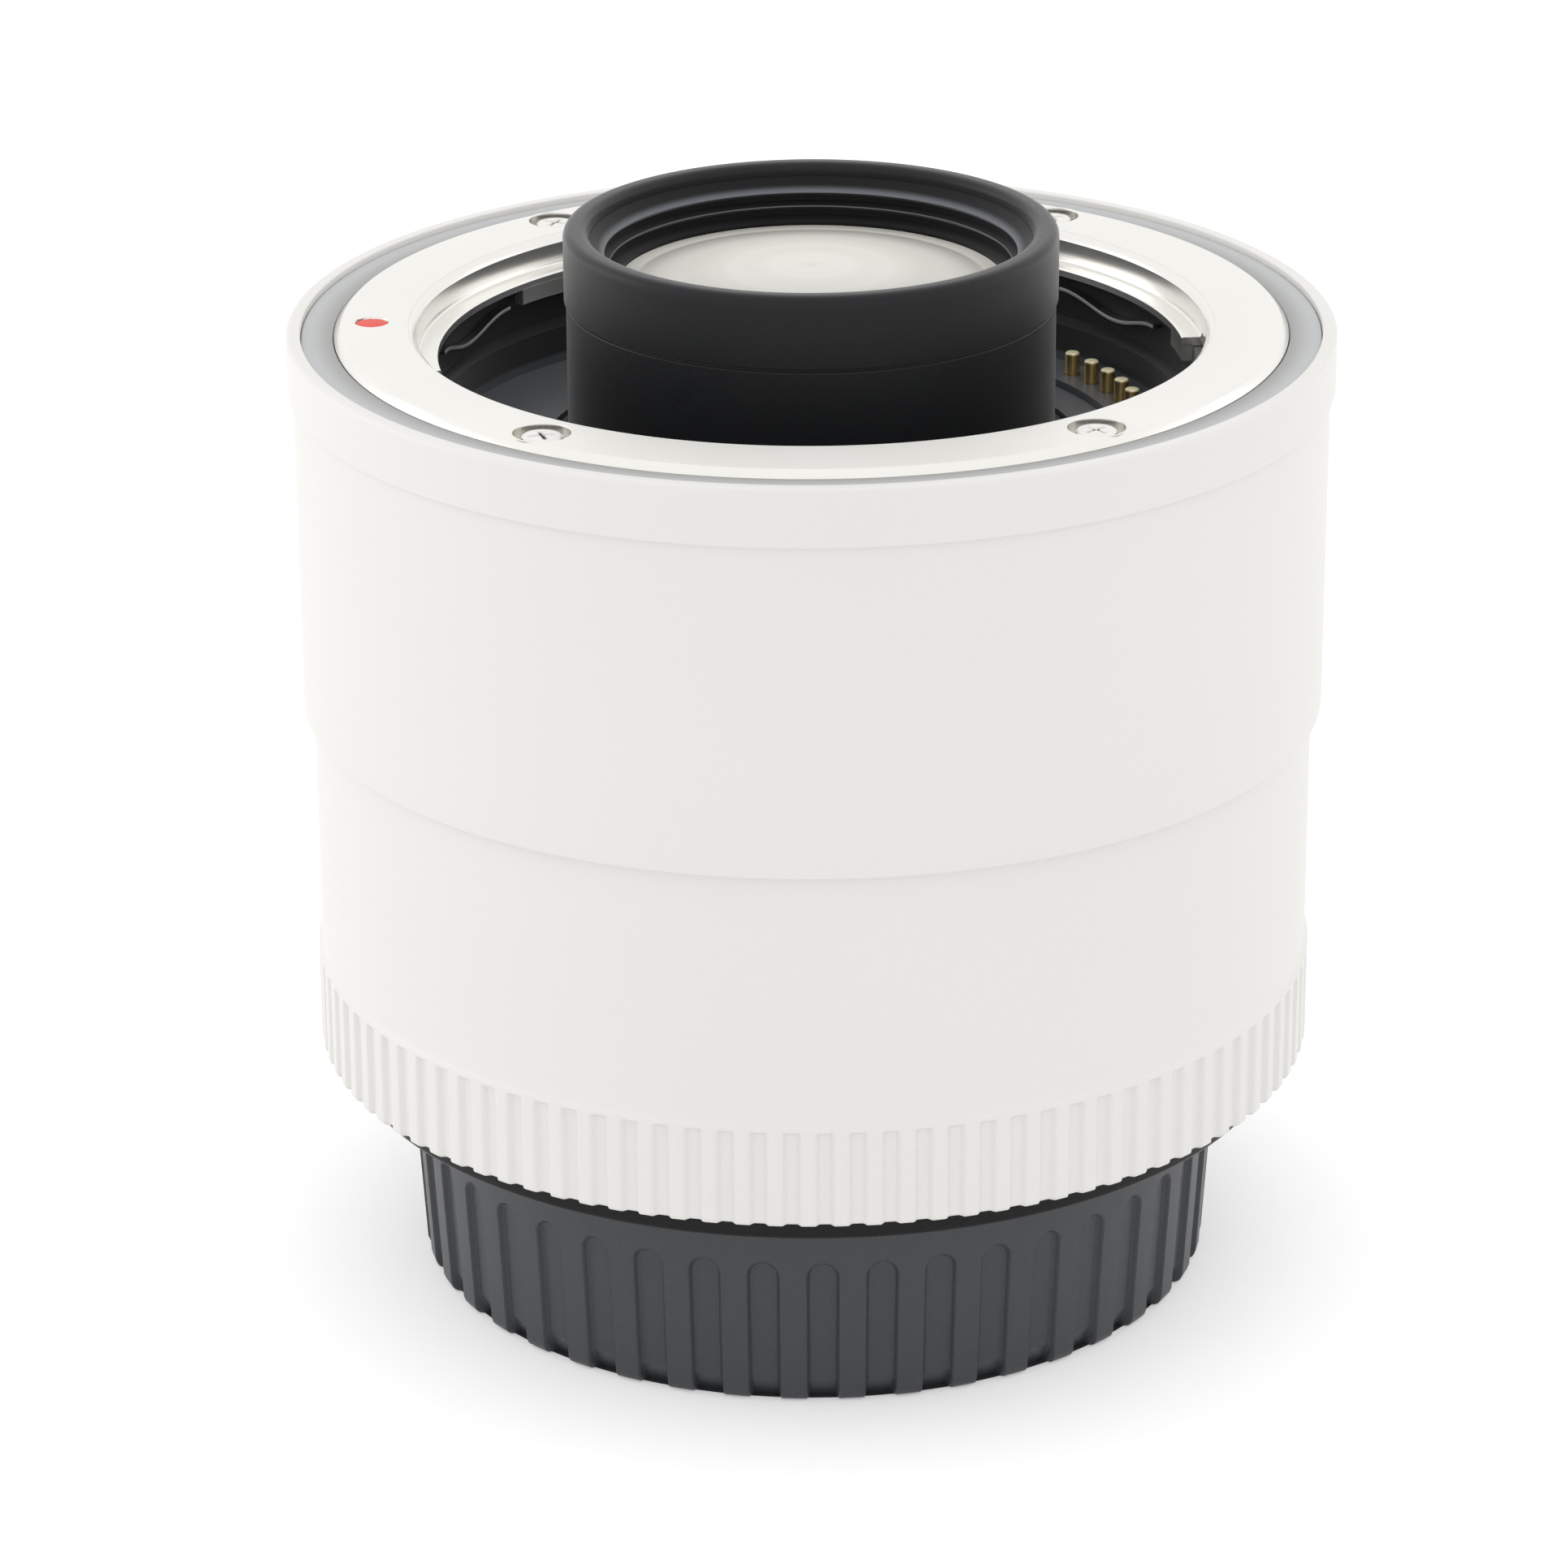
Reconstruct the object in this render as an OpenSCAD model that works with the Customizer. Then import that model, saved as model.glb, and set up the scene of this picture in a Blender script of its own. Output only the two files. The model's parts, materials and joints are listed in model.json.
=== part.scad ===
// Camera teleconverter: a short white barrel that fits between a lens and a camera.
// Z runs along the optical axis, and z = 0 is the face of the rear cap that it stands on.
// The index dot lies at -X, the contacts at +X and the lens release at +Y.

/* [Barrel] */
// Outer diameter of the front band, the widest part of the barrel
rim_d = 71.8; // [71:0.1:76]
// Distance from the rear flange to the front flange
flange_gap = 54.1; // [53:0.1:60]
// Height of the front band
band_h = 4.0; // [3.8:0.1:5]
// How far the front band stands back from the steel flange face
band_drop = 0.1; // [0:0.05:0.4]
// Radial step from the front band down to the main barrel
band_step = 0.35; // [0.2:0.05:0.5]
// Radial step from the main barrel down to the rear barrel
seam_step = 0.7; // [0.3:0.05:0.9]
// Height of the seam between the barrels above the rear flange
seam_h = 27.3; // [24:0.1:30]
// Bevel on the exposed edges of the barrel pieces
edge_bevel = 0.3; // [0.1:0.05:0.5]
// Wall of the aluminium chassis tube inside the barrel pieces
chassis_wall = 2.0; // [1.4:0.1:2.2]
// Thickness of the floor inside the chassis
web_t = 2.5; // [2:0.1:3]
// Depth of the chassis floor below the front flange
web_depth = 16.2; // [15.8:0.1:17]

/* [Grip] */
// Number of grooves in the grip at the foot of the rear barrel
groove_count = 100; // [80:1:110]
// Height of the grooves
groove_h = 7.1; // [4:0.1:10]
// Depth of the grooves
groove_depth = 0.35; // [0.2:0.05:0.5]
// Width of one groove
groove_w = 1.1; // [0.8:0.05:1.2]
// How far the grip stands out from the rear barrel
grip_step = 0.25; // [0.1:0.05:0.4]
// Plain land left above the grooves
groove_land = 0.15; // [0.1:0.05:0.3]

/* [Lens side mount] */
// Diameter of the throat that the lens mount enters
throat_d = 54; // [53.6:0.1:54.4]
// Outer diameter of the steel mount ring
ring_d = 65.26; // [65:0.1:66]
// Thickness of the steel mount ring
ring_t = 2.5; // [2.2:0.1:3]
// Bevel round the outside of the steel mount ring
ring_bevel = 0.5; // [0.2:0.05:0.6]
// Bevel at the mouth of the throat
throat_bevel = 0.55; // [0.2:0.05:0.7]
// Diameter across the inner ends of the three mount lugs
lug_d = 51.1; // [50.8:0.1:51.6]
// Width of a mount lug as an angle
lug_deg = 67; // [56:1:68]
// Depth of a lug's upper face below the flange
lug_drop = 2.1; // [1.8:0.1:2.4]
// Thickness of a mount lug
lug_t = 0.6; // [0.4:0.1:1.2]
// How far the stop under the end of a lug hangs below it
stop_h = 1.1; // [0.8:0.05:1.4]
// Diameter of the circle of mount screws
mount_pcd = 60.3; // [60:0.1:60.8]
// Angle of each mount screw from the line of the index dot
mount_screw_deg = 53.5; // [50:0.5:58]
// Diameter of the screw recesses
recess_d = 3.8; // [3.4:0.1:4]
// Depth of the screw heads below the flange
recess_depth = 0.2; // [0.1:0.05:0.5]
// Diameter of the red index dot
dot_d = 2.2; // [1.6:0.1:2.6]
// Depth of the pocket that holds an index dot
dot_depth = 0.3; // [0.2:0.05:0.5]
// Thickness of the leaf springs under the lugs
leaf_t = 0.25; // [0.2:0.05:0.35]
// How far a leaf spring bows down from its ends
leaf_bow = 1.0; // [0.4:0.1:1.2]
// How far a leaf spring's ends lie below its lug
leaf_drop = 0.85; // [0.6:0.05:0.95]
// Length of a leaf spring as an angle
leaf_deg = 25; // [20:1:27]

/* [Trim] */
// How far the grey trim ring lies below the flange
trim_drop = 0.5; // [0.1:0.05:0.6]
// Width of the white rim round the trim ring
rim_w = 1.05; // [0.8:0.05:1.3]

/* [Throat lining] */
// Depth of the black floor below the flange
floor_depth = 8.9; // [8.5:0.1:9.2]
// Thickness of the black floor
floor_t = 1.8; // [1.5:0.1:2.2]
// Diameter inside the upper wall of the lining
lining_d = 52.8; // [52.4:0.1:53]
// Diameter inside the lower wall of the lining
lining_low_d = 51.2; // [50.8:0.1:51.6]
// Height of the lower wall above the floor
lining_low_h = 2.6; // [2:0.1:3]
// Width of the groove between the floor and the foot of the lens tube
foot_groove = 0.45; // [0.3:0.05:0.6]

/* [Contacts] */
// Diameter of the circle of contact pins
pin_circle_d = 45.8; // [45.4:0.1:46.2]
// Diameter of a contact pin
pin_d = 1.04; // [0.9:0.02:1.2]
// Angle between two contact pins
pin_pitch = 5.8; // [5.4:0.1:6]
// Angle of the first contact pin from the foot of the mount
pin_start = 34.8; // [33:0.1:36]
// How far the pins stand above the contact block
pin_proud = 1.6; // [1.3:0.1:1.8]
// Travel of a contact pin
pin_travel = 1.0; // [0.6:0.1:1.2]
// How far the contact block stands above the black floor
block_proud = 0.5; // [0.2:0.05:0.7]
// Width of the contact block
block_w = 3.4; // [3.2:0.1:3.6]

/* [Front lens tube] */
// Diameter of the collar at the top of the lens tube
collar_d = 33.8; // [33.6:0.1:34.4]
// Diameter of the lens tube
tube_d = 33.5; // [33:0.1:33.6]
// Height of the collar above the flange
collar_proud = 6.6; // [6:0.1:8]
// Height of the collar
collar_h = 5.0; // [4.6:0.1:5.6]
// Wall of the collar at its lip
lip_w = 1.75; // [1.4:0.05:2]
// Width of the groove below the collar
collar_groove = 0.18; // [0.1:0.02:0.3]
// Depth of the glass seat below the top of the collar
glass_depth = 3.8; // [3.6:0.1:4.2]
// Diameter of the front glass
front_glass_d = 26.6; // [26:0.1:27]

/* [Glass] */
// Diameter of the inner glass elements
inner_glass_d = 24; // [23:0.1:24.4]
// Diameter of the rear glass element
rear_glass_d = 27; // [26.4:0.1:27.4]

/* [Lens release] */
// Diameter of the lock pin
lock_d = 2.0; // [1.8:0.1:2.2]
// How far the lock pin stands above the flange
lock_proud = 1.5; // [1.2:0.1:2]
// Travel of the release lever
release_travel = 2.5; // [2:0.1:2.8]
// Width of the release lever's thumb pad
pad_w = 13; // [10:0.5:16]
// Height of the release lever's thumb pad
pad_h = 8; // [6:0.5:8.4]
// Thickness of the release lever's thumb pad
pad_t = 1.9; // [1.5:0.1:2.5]
// Width of the lever's neck
neck_w = 6; // [5:0.5:7]

/* [Camera side mount] */
// Diameter of the rear flange
rear_flange_d = 63.8; // [63.4:0.1:64]
// Thickness of the rear flange
rear_flange_t = 2.0; // [1.8:0.1:2.4]
// Outer diameter of the rear lugs
rear_lug_d = 53.7; // [53.4:0.1:53.8]
// Outer diameter of the rear bayonet tube
bayonet_d = 50.5; // [50.2:0.1:50.6]
// Wall of the rear bayonet tube
bayonet_wall = 1.25; // [1:0.05:1.4]
// Thickness of a rear lug
rear_lug_t = 1.6; // [1.4:0.05:1.8]
// Width of a rear lug as an angle
rear_lug_deg = 50; // [44:1:54]
// Diameter of the circle of rear screws
rear_pcd = 59.6; // [59.4:0.1:59.8]
// Outer diameter of the black seal ring
seal_d = 66.4; // [66:0.1:67]
// Height of the seal ring's lower edge above the rear flange face
seal_lift = 0.29; // [0.1:0.01:0.5]
// Thickness of the shim behind the rear flange
shim_t = 0.2; // [0.1:0.05:0.3]
// Depth of the rear contact pads behind the rear flange
pad_depth = 6.5; // [6.2:0.1:7]

/* [Rear cap] */
// Height of the rear cap
cap_h = 14.05; // [13.6:0.05:16]
// Gap between the cap's rim and the rear flange
cap_gap = 0.55; // [0.3:0.05:0.8]
// Diameter of the cap at the face it stands on
cap_d = 56; // [55.6:0.1:57]
// Draft of the cap's wall
cap_draft = 3.5; // [2.5:0.1:4]
// Number of flutes round the cap
flute_count = 44; // [36:1:48]
// Width of a flute
flute_w = 2.05; // [1.6:0.05:2.3]
// Depth of a flute
flute_depth = 0.4; // [0.2:0.05:0.5]
// Height of the sloping foot of a flute
flute_foot_h = 1.6; // [0.8:0.1:1.7]
// How far the foot of a flute slopes in
flute_foot_in = 0.8; // [0.3:0.1:1]
// Height of a flute's round top
flute_h = 10.8; // [9:0.1:11.5]
// Diameter inside the cap
cap_bore_d = 54.3; // [54.1:0.1:54.4]
// Thickness of the cap's floor
cap_floor = 1.8; // [1.2:0.1:2.2]

/* [Fits] */
// Gap round a piece that sits in another
fit_gap = 0.05; // [0.03:0.01:0.06]
// Gap round a piece that moves
move_gap = 0.3; // [0.2:0.05:0.4]
// Cement gap between two glass elements
cement_gap = 0.02; // [0.01:0.01:0.04]

/* [Hidden] */
$fn = 96;
eps = 0.01;
dome_fn = 240;

pin_count = 11;
rear_pad_count = 8;
glass_count = 9;
lug_centres = [36.5, 156.5, 276.5];
gap_centres = [96.5, 216.5, 336.5];
// Angle that each lug's stop takes up, and how far its spring lies from its middle
stop_degs = [8, 19, 8];
leaf_shifts = [-4, 1, 0];

// Heights along the axis
rear_z = cap_h + cap_gap;
front_z = rear_z + flange_gap;
ring_z = front_z - ring_t;
band_top = front_z - band_drop;
band_z = band_top - band_h;
seam_z = rear_z + seam_h;
seal_z = rear_z + seal_lift;
shim_z = rear_z + rear_flange_t;
chassis_z = shim_z + shim_t;
barrel_foot = 0.13;
barrel_z = chassis_z - barrel_foot;
barrel_lip = 0.6;
web_top = front_z - web_depth;
web_z = web_top - web_t;
floor_z = front_z - floor_depth;
block_top = floor_z + block_proud;
collar_top = front_z + collar_proud;
collar_z = collar_top - collar_h;
glass_z = collar_top - glass_depth;
lug_top = front_z - lug_drop;
lug_z = lug_top - lug_t;

// Radii
rim_r = rim_d / 2;
main_r = rim_r - band_step;
rear_r = main_r - seam_step;
ring_r = ring_d / 2;
throat_r = throat_d / 2;
lug_r = lug_d / 2;
trim_r = rim_r - rim_w;
shell_seat = 0.72;
shell_r = ring_r + shell_seat;
chassis_r = shell_r - fit_gap;
chassis_in = chassis_r - chassis_wall;
mount_r = mount_pcd / 2;
dot_in = 0.1;
dot_at = mount_r - dot_in;
pin_r = pin_d / 2;
pins_at = pin_circle_d / 2;
tube_r = tube_d / 2;
collar_r = collar_d / 2;
foot_w = 1.35;
foot_r = tube_r + foot_w;
lining_r = lining_d / 2;
lining_low_r = lining_low_d / 2;
lining_cover = 0.85;
lining_out = throat_r + lining_cover;
lining_slope = 0.4;
skirt_w = 1.6;
skirt_in = lining_out - skirt_w;
lock_r = lock_d / 2;
lock_in = 0.35;
lock_at = mount_r - lock_in;
rear_flange_r = rear_flange_d / 2;
bayonet_r = bayonet_d / 2;
bayonet_in = bayonet_r - bayonet_wall;
rear_mount_r = rear_pcd / 2;
seal_r = seal_d / 2;
cap_r = cap_d / 2;
cap_bore = cap_bore_d / 2;

// Screws: shank and head radii, head height, the larger head of the front mount, the depth and
// the arms of the cross, and how far a thread bites
screw_r = 0.7;
head_r = 1.25;
head_h = 0.8;
mount_head_r = 1.35;
cross_depth = 0.4;
cross_l = 1.3;
cross_w = 0.3;
thread_bite = 1.8;
board_bite = 1.4;

// Chassis flanges
top_flange_t = 2.5;
foot_flange_t = 2.4;
top_flange_z = ring_z - top_flange_t;
foot_flange_lip = 0.25;
foot_flange_in = bayonet_r - foot_flange_lip;
neck_step = 0.2;
chassis_neck = rear_flange_r + neck_step;
neck_rise = 0.1;
chassis_neck_h = barrel_lip + neck_rise;

// Contact block, from the chassis floor up
contact_board_t = 0.8;
contact_board_rim = 0.5;
block_slot_deg = 0.2;
block_z = web_top + contact_board_t;
block_roof = 2.0;
block_in = pins_at - block_w / 2;
block_out = pins_at + block_w / 2;
block_end = 4.5;
block_a0 = pin_start - (pin_count - 1) * pin_pitch - block_end;
block_a1 = pin_start + block_end;
pin_top = block_top + pin_proud;
pin_collar_t = 0.8;
pin_collar_w = 0.26;
pin_collar_r = pin_r + pin_collar_w;
pin_tail_step = 0.17;
pin_tail_r = pin_r - pin_tail_step;
pin_tail_gap = 1.3;
spring_gap = 0.1;
cavity_r = pin_collar_r + spring_gap;
pin_collar_z = block_top - block_roof - pin_collar_t;
pin_tail_h = pin_collar_z - block_z - pin_travel - pin_tail_gap;
contact_spring_wall = 0.25;

// Lens cells, from the front glass seat down
seat_drop = 0.1;
seat_z = glass_z - seat_drop;
front_doublet_h = 6.6;
shoulder_z = seat_z - front_doublet_h;
shoulder_t = 1.85;
single_h = 2.6;
single_top = shoulder_z - shoulder_t - fit_gap;
cell_drop = 2.2;
cell_top = floor_z - cell_drop;
inner_r = inner_glass_d / 2;
inner_bore = inner_r + fit_gap;
front_bore = front_glass_d / 2 + fit_gap;
spigot_r = collar_r - lip_w - fit_gap;
triplet_drop = 1.65;
triplet_top = cell_top - triplet_drop;
triplet_h = 10.45;
rear_pair_h = 8.95;
spacer_h = 7.5;
pair_top = triplet_top - triplet_h - spacer_h;
pair_z = pair_top - rear_pair_h;
rear_ledge_t = 2.0;
rear_seat = pair_z - rear_ledge_t;
rear_single_h = 5.0;
rear_retainer_h = 1.35;
cell_z = rear_seat - rear_single_h - rear_retainer_h - fit_gap;
rear_bore = rear_glass_d / 2 + fit_gap;
cell_wall = 1.65;
cell_step = 0.75;
cell_r = tube_r + cell_step;
cell_low_r = rear_bore + cell_wall;
cell_flange_w = 2.5;
cell_flange_r = cell_r + cell_flange_w;
cell_flange_t = 2.2;
cell_screw_at = cell_r + cell_flange_w / 2;
cell_screw_angles = [60, 180, 300];
spacer_wall = 1.2;
land_over = 0.1;
glass_land = spacer_wall + land_over;
shoulder_w = 0.8;
ledge_w = 1.1;

// Circuit board under the chassis floor
post_h = 1.2;
post_r = 1.8;
board_t = 1.2;
board_top = web_z - post_h;
board_z = board_top - board_t;
board_clear = 1.8;
board_in = cell_low_r + board_clear;
board_edge = 1.2;
board_out = chassis_in - board_edge;
board_a0 = -70;
board_a1 = 160;
board_screw_at = (board_in + board_out) / 2;
board_screw_angles = [-50, 45, 140];
flex_t = 0.3;
flex_w = 5;
flex_deg = 5;
flex_at = pins_at;

// Lens release
arm_t = 2.0;
pad_drop = 0.6;
pad_z = band_z - pad_drop - pad_h;
arm_z = pad_z + (pad_h - arm_t) / 2;
arm_r = 1.9;
lock_collar_r = 1.6;
lock_collar_t = 0.8;
lock_clear = 0.6;
lock_foot = web_top + release_travel + lock_clear;
lock_spring_gap = 0.2;
release_spring_in = lock_r + lock_spring_gap;
release_spring_out = arm_r;
pad_in = main_r + move_gap;
slot_w = neck_w + 2 * move_gap;
slot_z = arm_z - release_travel - move_gap;
slot_h = arm_t + release_travel + 2 * move_gap;

// Camera side
rear_lug_r = rear_lug_d / 2;
rear_lug_top = rear_z - lug_drop - lug_t - fit_gap;
bayonet_z = rear_lug_top - rear_lug_t;
baffle_t = 1.8;
baffle_rise = 0.6;
baffle_z = rear_z + baffle_rise;
baffle_lip = 0.9;
baffle_lip_t = 0.8;
baffle_r = bayonet_in - fit_gap;
rear_block_gap = 0.15;
rear_block_out = baffle_r - rear_block_gap;
rear_block_w = 3;
rear_block_in = rear_block_out - rear_block_w;
rear_block_mid = (rear_block_in + rear_block_out) / 2;
rear_block_z = rear_z - pad_depth;
rear_block_rim = 1.2;
rear_end_deg = 3;
rear_a0 = pin_start - (pin_count - 1) * pin_pitch - rear_end_deg;
rear_a1 = rear_a0 + (rear_pad_count - 1) * pin_pitch + 2 * rear_end_deg;
rear_ear = 8;
rear_pad_r = 0.7;
rear_pad_t = 0.5;
rear_screw_angles = [45, 135, 225, 315];
aperture = [26, 19];

// Rear cap
cap_slope = tan(cap_draft);
cap_edge = 0.4;
cap_lug_rise = 0.6;
cap_lug_z = rear_lug_top + cap_lug_rise;
cap_lug_t = 1.3;
cap_lug_deg = 24;
cap_lug_gap = 0.4;
cap_lug_in = bayonet_r + cap_lug_gap;
cap_lug_root = 0.3;
flute_bite = 1.5;
flute_clear = 3;

// Points on an arc about c, from angle a0 to a1, for use in an outline
function arc(c, r, a0, a1, n = 6) =
    [for (i = [0 : n]) c + r * [cos(a0 + (a1 - a0) * i / n), sin(a0 + (a1 - a0) * i / n)]];

// Radius of the sphere that rises by sag over a disc of radius r
function sphere_r(r, sag) = (r * r + sag * sag) / (2 * abs(sag));

// Angle of contact pin i, counted from 1
function pin_angle(i) = pin_start - (i - 1) * pin_pitch;

module ring(r_out, r_in, z0, z1) {
    translate([0, 0, z0])
        difference() {
            cylinder(r = r_out, h = z1 - z0);
            translate([0, 0, -1]) cylinder(r = r_in, h = z1 - z0 + 2);
        }
}

module rod(r, z0, z1) {
    translate([0, 0, z0]) cylinder(r = r, h = z1 - z0);
}

// Moves a piece out to radius r at angle a
module at(r, a) {
    rotate(a) translate([r, 0, 0]) children();
}

// A piece of a ring from angle a0 to a1
module ring_part(r_out, r_in, z0, z1, a0, a1) {
    rotate(a0)
        rotate_extrude(angle = a1 - a0)
            translate([r_in, z0]) square([r_out - r_in, z1 - z0]);
}

// A box that reaches from radius r0 to r1 along +X, centred across
module spoke(r0, r1, w, z0, z1) {
    translate([r0, -w / 2, z0]) cube([r1 - r0, w, z1 - z0]);
}

// A cross-recessed screw whose head is at the top, at height z, and whose shank hangs below
module screw(z, length, head = head_r) {
    difference() {
        union() {
            rod(head, z - head_h, z);
            rod(screw_r, z - length, z - head_h + eps);
        }
        for (a = [0, 90])
            rotate(a) translate([-cross_l / 2, -cross_w / 2, z - cross_depth]) cube([cross_l, cross_w, 1]);
    }
}

// A glass disc between edge heights z0 and z1, with a flat land round each face.
// A sag over 0 is a domed face, under 0 a hollow one.
module glass(r, z0, z1, sag0, sag1) {
    low = z0 - max(sag0, 0);
    high = z1 + max(sag1, 0);
    difference() {
        rod(r, low, high);
        if (sag1 != 0) face_cut(r, z1, sag1);
        if (sag0 != 0) translate([0, 0, 2 * z0]) mirror([0, 0, 1]) face_cut(r, z0, sag0);
    }
}

// What a round face takes off the top of a glass disc whose edge is at height z
module face_cut(r, z, sag) {
    big = sphere_r(r - glass_land, sag);
    if (sag > 0)
        difference() {
            rod(r + 1, z, z + sag + 1);
            translate([0, 0, z + sag - big]) sphere(r = big, $fn = dome_fn);
        }
    else
        translate([0, 0, z + sag + big]) sphere(r = big, $fn = dome_fn);
}

module front_band() {
    color("whitesmoke")
        rotate_extrude()
            polygon([
                [shell_r, band_z], [rim_r - edge_bevel, band_z], [rim_r, band_z + edge_bevel],
                [rim_r, band_top - edge_bevel], [rim_r - edge_bevel, band_top],
                [trim_r + fit_gap, band_top], [trim_r + fit_gap, ring_z], [shell_r, ring_z]]);
}

module main_barrel() {
    color("whitesmoke")
        difference() {
            rotate_extrude()
                polygon([
                    [shell_r, seam_z], [main_r - edge_bevel, seam_z], [main_r, seam_z + edge_bevel],
                    [main_r, band_z], [shell_r, band_z]]);
            rotate(90) spoke(shell_r - 2, main_r + 2, slot_w, slot_z, slot_z + slot_h);
        }
}

module rear_barrel() {
    grip_r = rear_r + grip_step;
    grip_top = barrel_z + groove_h;
    color("whitesmoke")
        difference() {
            rotate_extrude()
                polygon([
                    [chassis_neck + fit_gap, barrel_z], [grip_r - edge_bevel, barrel_z],
                    [grip_r, barrel_z + edge_bevel], [grip_r, grip_top], [rear_r, grip_top + grip_step],
                    [rear_r, seam_z], [shell_r, seam_z], [shell_r, barrel_z + barrel_lip],
                    [chassis_neck + fit_gap, barrel_z + barrel_lip]]);
            for (i = [0 : groove_count - 1])
                rotate(i * 360 / groove_count)
                    spoke(grip_r - groove_depth, grip_r + 1, groove_w,
                          barrel_z - 1, grip_top - groove_land);
        }
}

module trim_ring() {
    color("darkgray")
        ring(trim_r, ring_r + fit_gap, ring_z, front_z - trim_drop);
}

// A steel ring whose lugs reach into the throat, each with a stop under its end
module lens_mount_ring() {
    lug_root = 0.2;
    color("silver")
        difference() {
            union() {
                rotate_extrude()
                    polygon([
                        [throat_r, ring_z], [ring_r, ring_z], [ring_r, front_z - ring_bevel],
                        [ring_r - ring_bevel, front_z], [throat_r + throat_bevel, front_z],
                        [throat_r, front_z - throat_bevel]]);
                for (i = [0 : len(lug_centres) - 1]) rotate(lug_centres[i] - lug_deg / 2) {
                    ring_part(throat_r + lug_root, lug_r, ring_z, lug_top, 0, lug_deg);
                    ring_part(throat_r - fit_gap, lug_r, lug_z, ring_z + eps, 0, lug_deg);
                    ring_part(lining_r - fit_gap, lug_r, lug_z - stop_h, lug_z + eps, 0, stop_degs[i]);
                }
            }
            mount_screw_places() {
                rod(recess_d / 2, front_z - recess_depth - head_h, front_z + 1);
                rod(screw_r + fit_gap, ring_z - 1, front_z);
            }
            at(dot_at, 180) rod(dot_d / 2, front_z - dot_depth, front_z + 1);
            at(lock_at, 90) rod(lock_r + fit_gap, ring_z - 1, front_z + 1);
        }
}

module mount_screw_places() {
    for (side = [0, 180], turn = [-1, 1])
        rotate(side + turn * mount_screw_deg) translate([mount_r, 0, 0]) children();
}

module lens_mount_screws() {
    color("gainsboro")
        mount_screw_places() screw(front_z - recess_depth, ring_t + thread_bite, mount_head_r);
}

module index_dot() {
    color("crimson")
        at(dot_at, 180) rod(dot_d / 2 - fit_gap, front_z - dot_depth, front_z - 0.03);
}

// Each leaf lies under a lug, against the lining, with both ends up and its middle bowed down
module mount_springs() {
    steps = 16;
    leaf_in = lug_r + 2 * fit_gap;
    leaf_out = lining_r - fit_gap;
    color("dimgray")
        for (i = [0 : len(lug_centres) - 1])
            rotate(lug_centres[i] + leaf_shifts[i] - leaf_deg / 2)
                leaf(leaf_in, leaf_out, lug_z - leaf_drop, leaf_deg, steps);
}

// A bowed strip: its height follows one cosine wave, down from one end and up to the other
module leaf(r_in, r_out, z, span, steps) {
    rows = [for (i = [0 : steps])
        let (a = span * i / steps, top = z - leaf_bow * (1 - cos(360 * i / steps)) / 2)
        for (p = [[r_in, top], [r_out, top], [r_out, top - leaf_t], [r_in, top - leaf_t]])
            [p[0] * cos(a), p[0] * sin(a), p[1]]];
    sides = [for (i = [0 : steps - 1], k = [0 : 3])
        let (j = 4 * i, n = (k + 1) % 4)
        for (f = [[j + k, j + 4 + k, j + 4 + n], [j + k, j + 4 + n, j + n]]) f];
    last = 4 * steps;
    ends = [[0, 1, 2], [0, 2, 3], [last, last + 2, last + 1], [last, last + 3, last + 2]];
    polyhedron(rows, concat(sides, ends));
}

module lock_pin() {
    tip = 0.4;
    color("silver")
        at(lock_at, 90) {
            rod(lock_r, lock_foot, front_z + lock_proud - tip);
            translate([0, 0, front_z + lock_proud - tip]) cylinder(r1 = lock_r, r2 = lock_r - tip, h = tip);
            rod(lock_collar_r, arm_z + arm_t, arm_z + arm_t + lock_collar_t);
        }
}

module lock_pin_spring() {
    color("gainsboro")
        at(lock_at, 90) ring(release_spring_out, release_spring_in, web_top, arm_z);
}

module release_lever() {
    rib_count = 4;
    rib_gap = pad_h / (rib_count + 1);
    color("dimgray")
        rotate(90)
            difference() {
                union() {
                    intersection() {
                        ring(pad_in + pad_t, pad_in, pad_z, pad_z + pad_h);
                        spoke(pad_in - 3, pad_in + pad_t + 1, pad_w, pad_z, pad_z + pad_h);
                    }
                    intersection() {
                        rod(pad_in + pad_t / 2, arm_z, arm_z + arm_t);
                        spoke(lock_at, rim_r + pad_t, neck_w, arm_z, arm_z + arm_t);
                    }
                    translate([lock_at, 0, 0]) rod(arm_r, arm_z, arm_z + arm_t);
                }
                translate([lock_at, 0, 0]) rod(lock_r + fit_gap / 2, arm_z - 1, arm_z + arm_t + 1);
                for (i = [1 : rib_count])
                    ring(rim_r + pad_t + 3, pad_in + pad_t - 0.4,
                         pad_z + i * rib_gap - 0.35, pad_z + i * rib_gap + 0.35);
            }
}

module throat_lining() {
    color([0.12, 0.12, 0.13])
        difference() {
            rotate_extrude()
                polygon([
                    [foot_r + foot_groove, floor_z - floor_t], [skirt_in, floor_z - floor_t],
                    [skirt_in, web_top], [lining_out, web_top],
                    [lining_out, ring_z - fit_gap], [throat_r + fit_gap, ring_z - fit_gap],
                    [throat_r + fit_gap, lug_z - fit_gap], [lining_r, lug_z - fit_gap],
                    [lining_r, floor_z + lining_low_h + lining_slope], [lining_low_r, floor_z + lining_low_h],
                    [lining_low_r, floor_z], [foot_r + foot_groove, floor_z]]);
            ring_part(block_out + fit_gap, block_in - fit_gap, floor_z - floor_t - 1, ring_z + 1,
                      block_a0 - block_slot_deg, block_a1 + block_slot_deg);
        }
}

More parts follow.
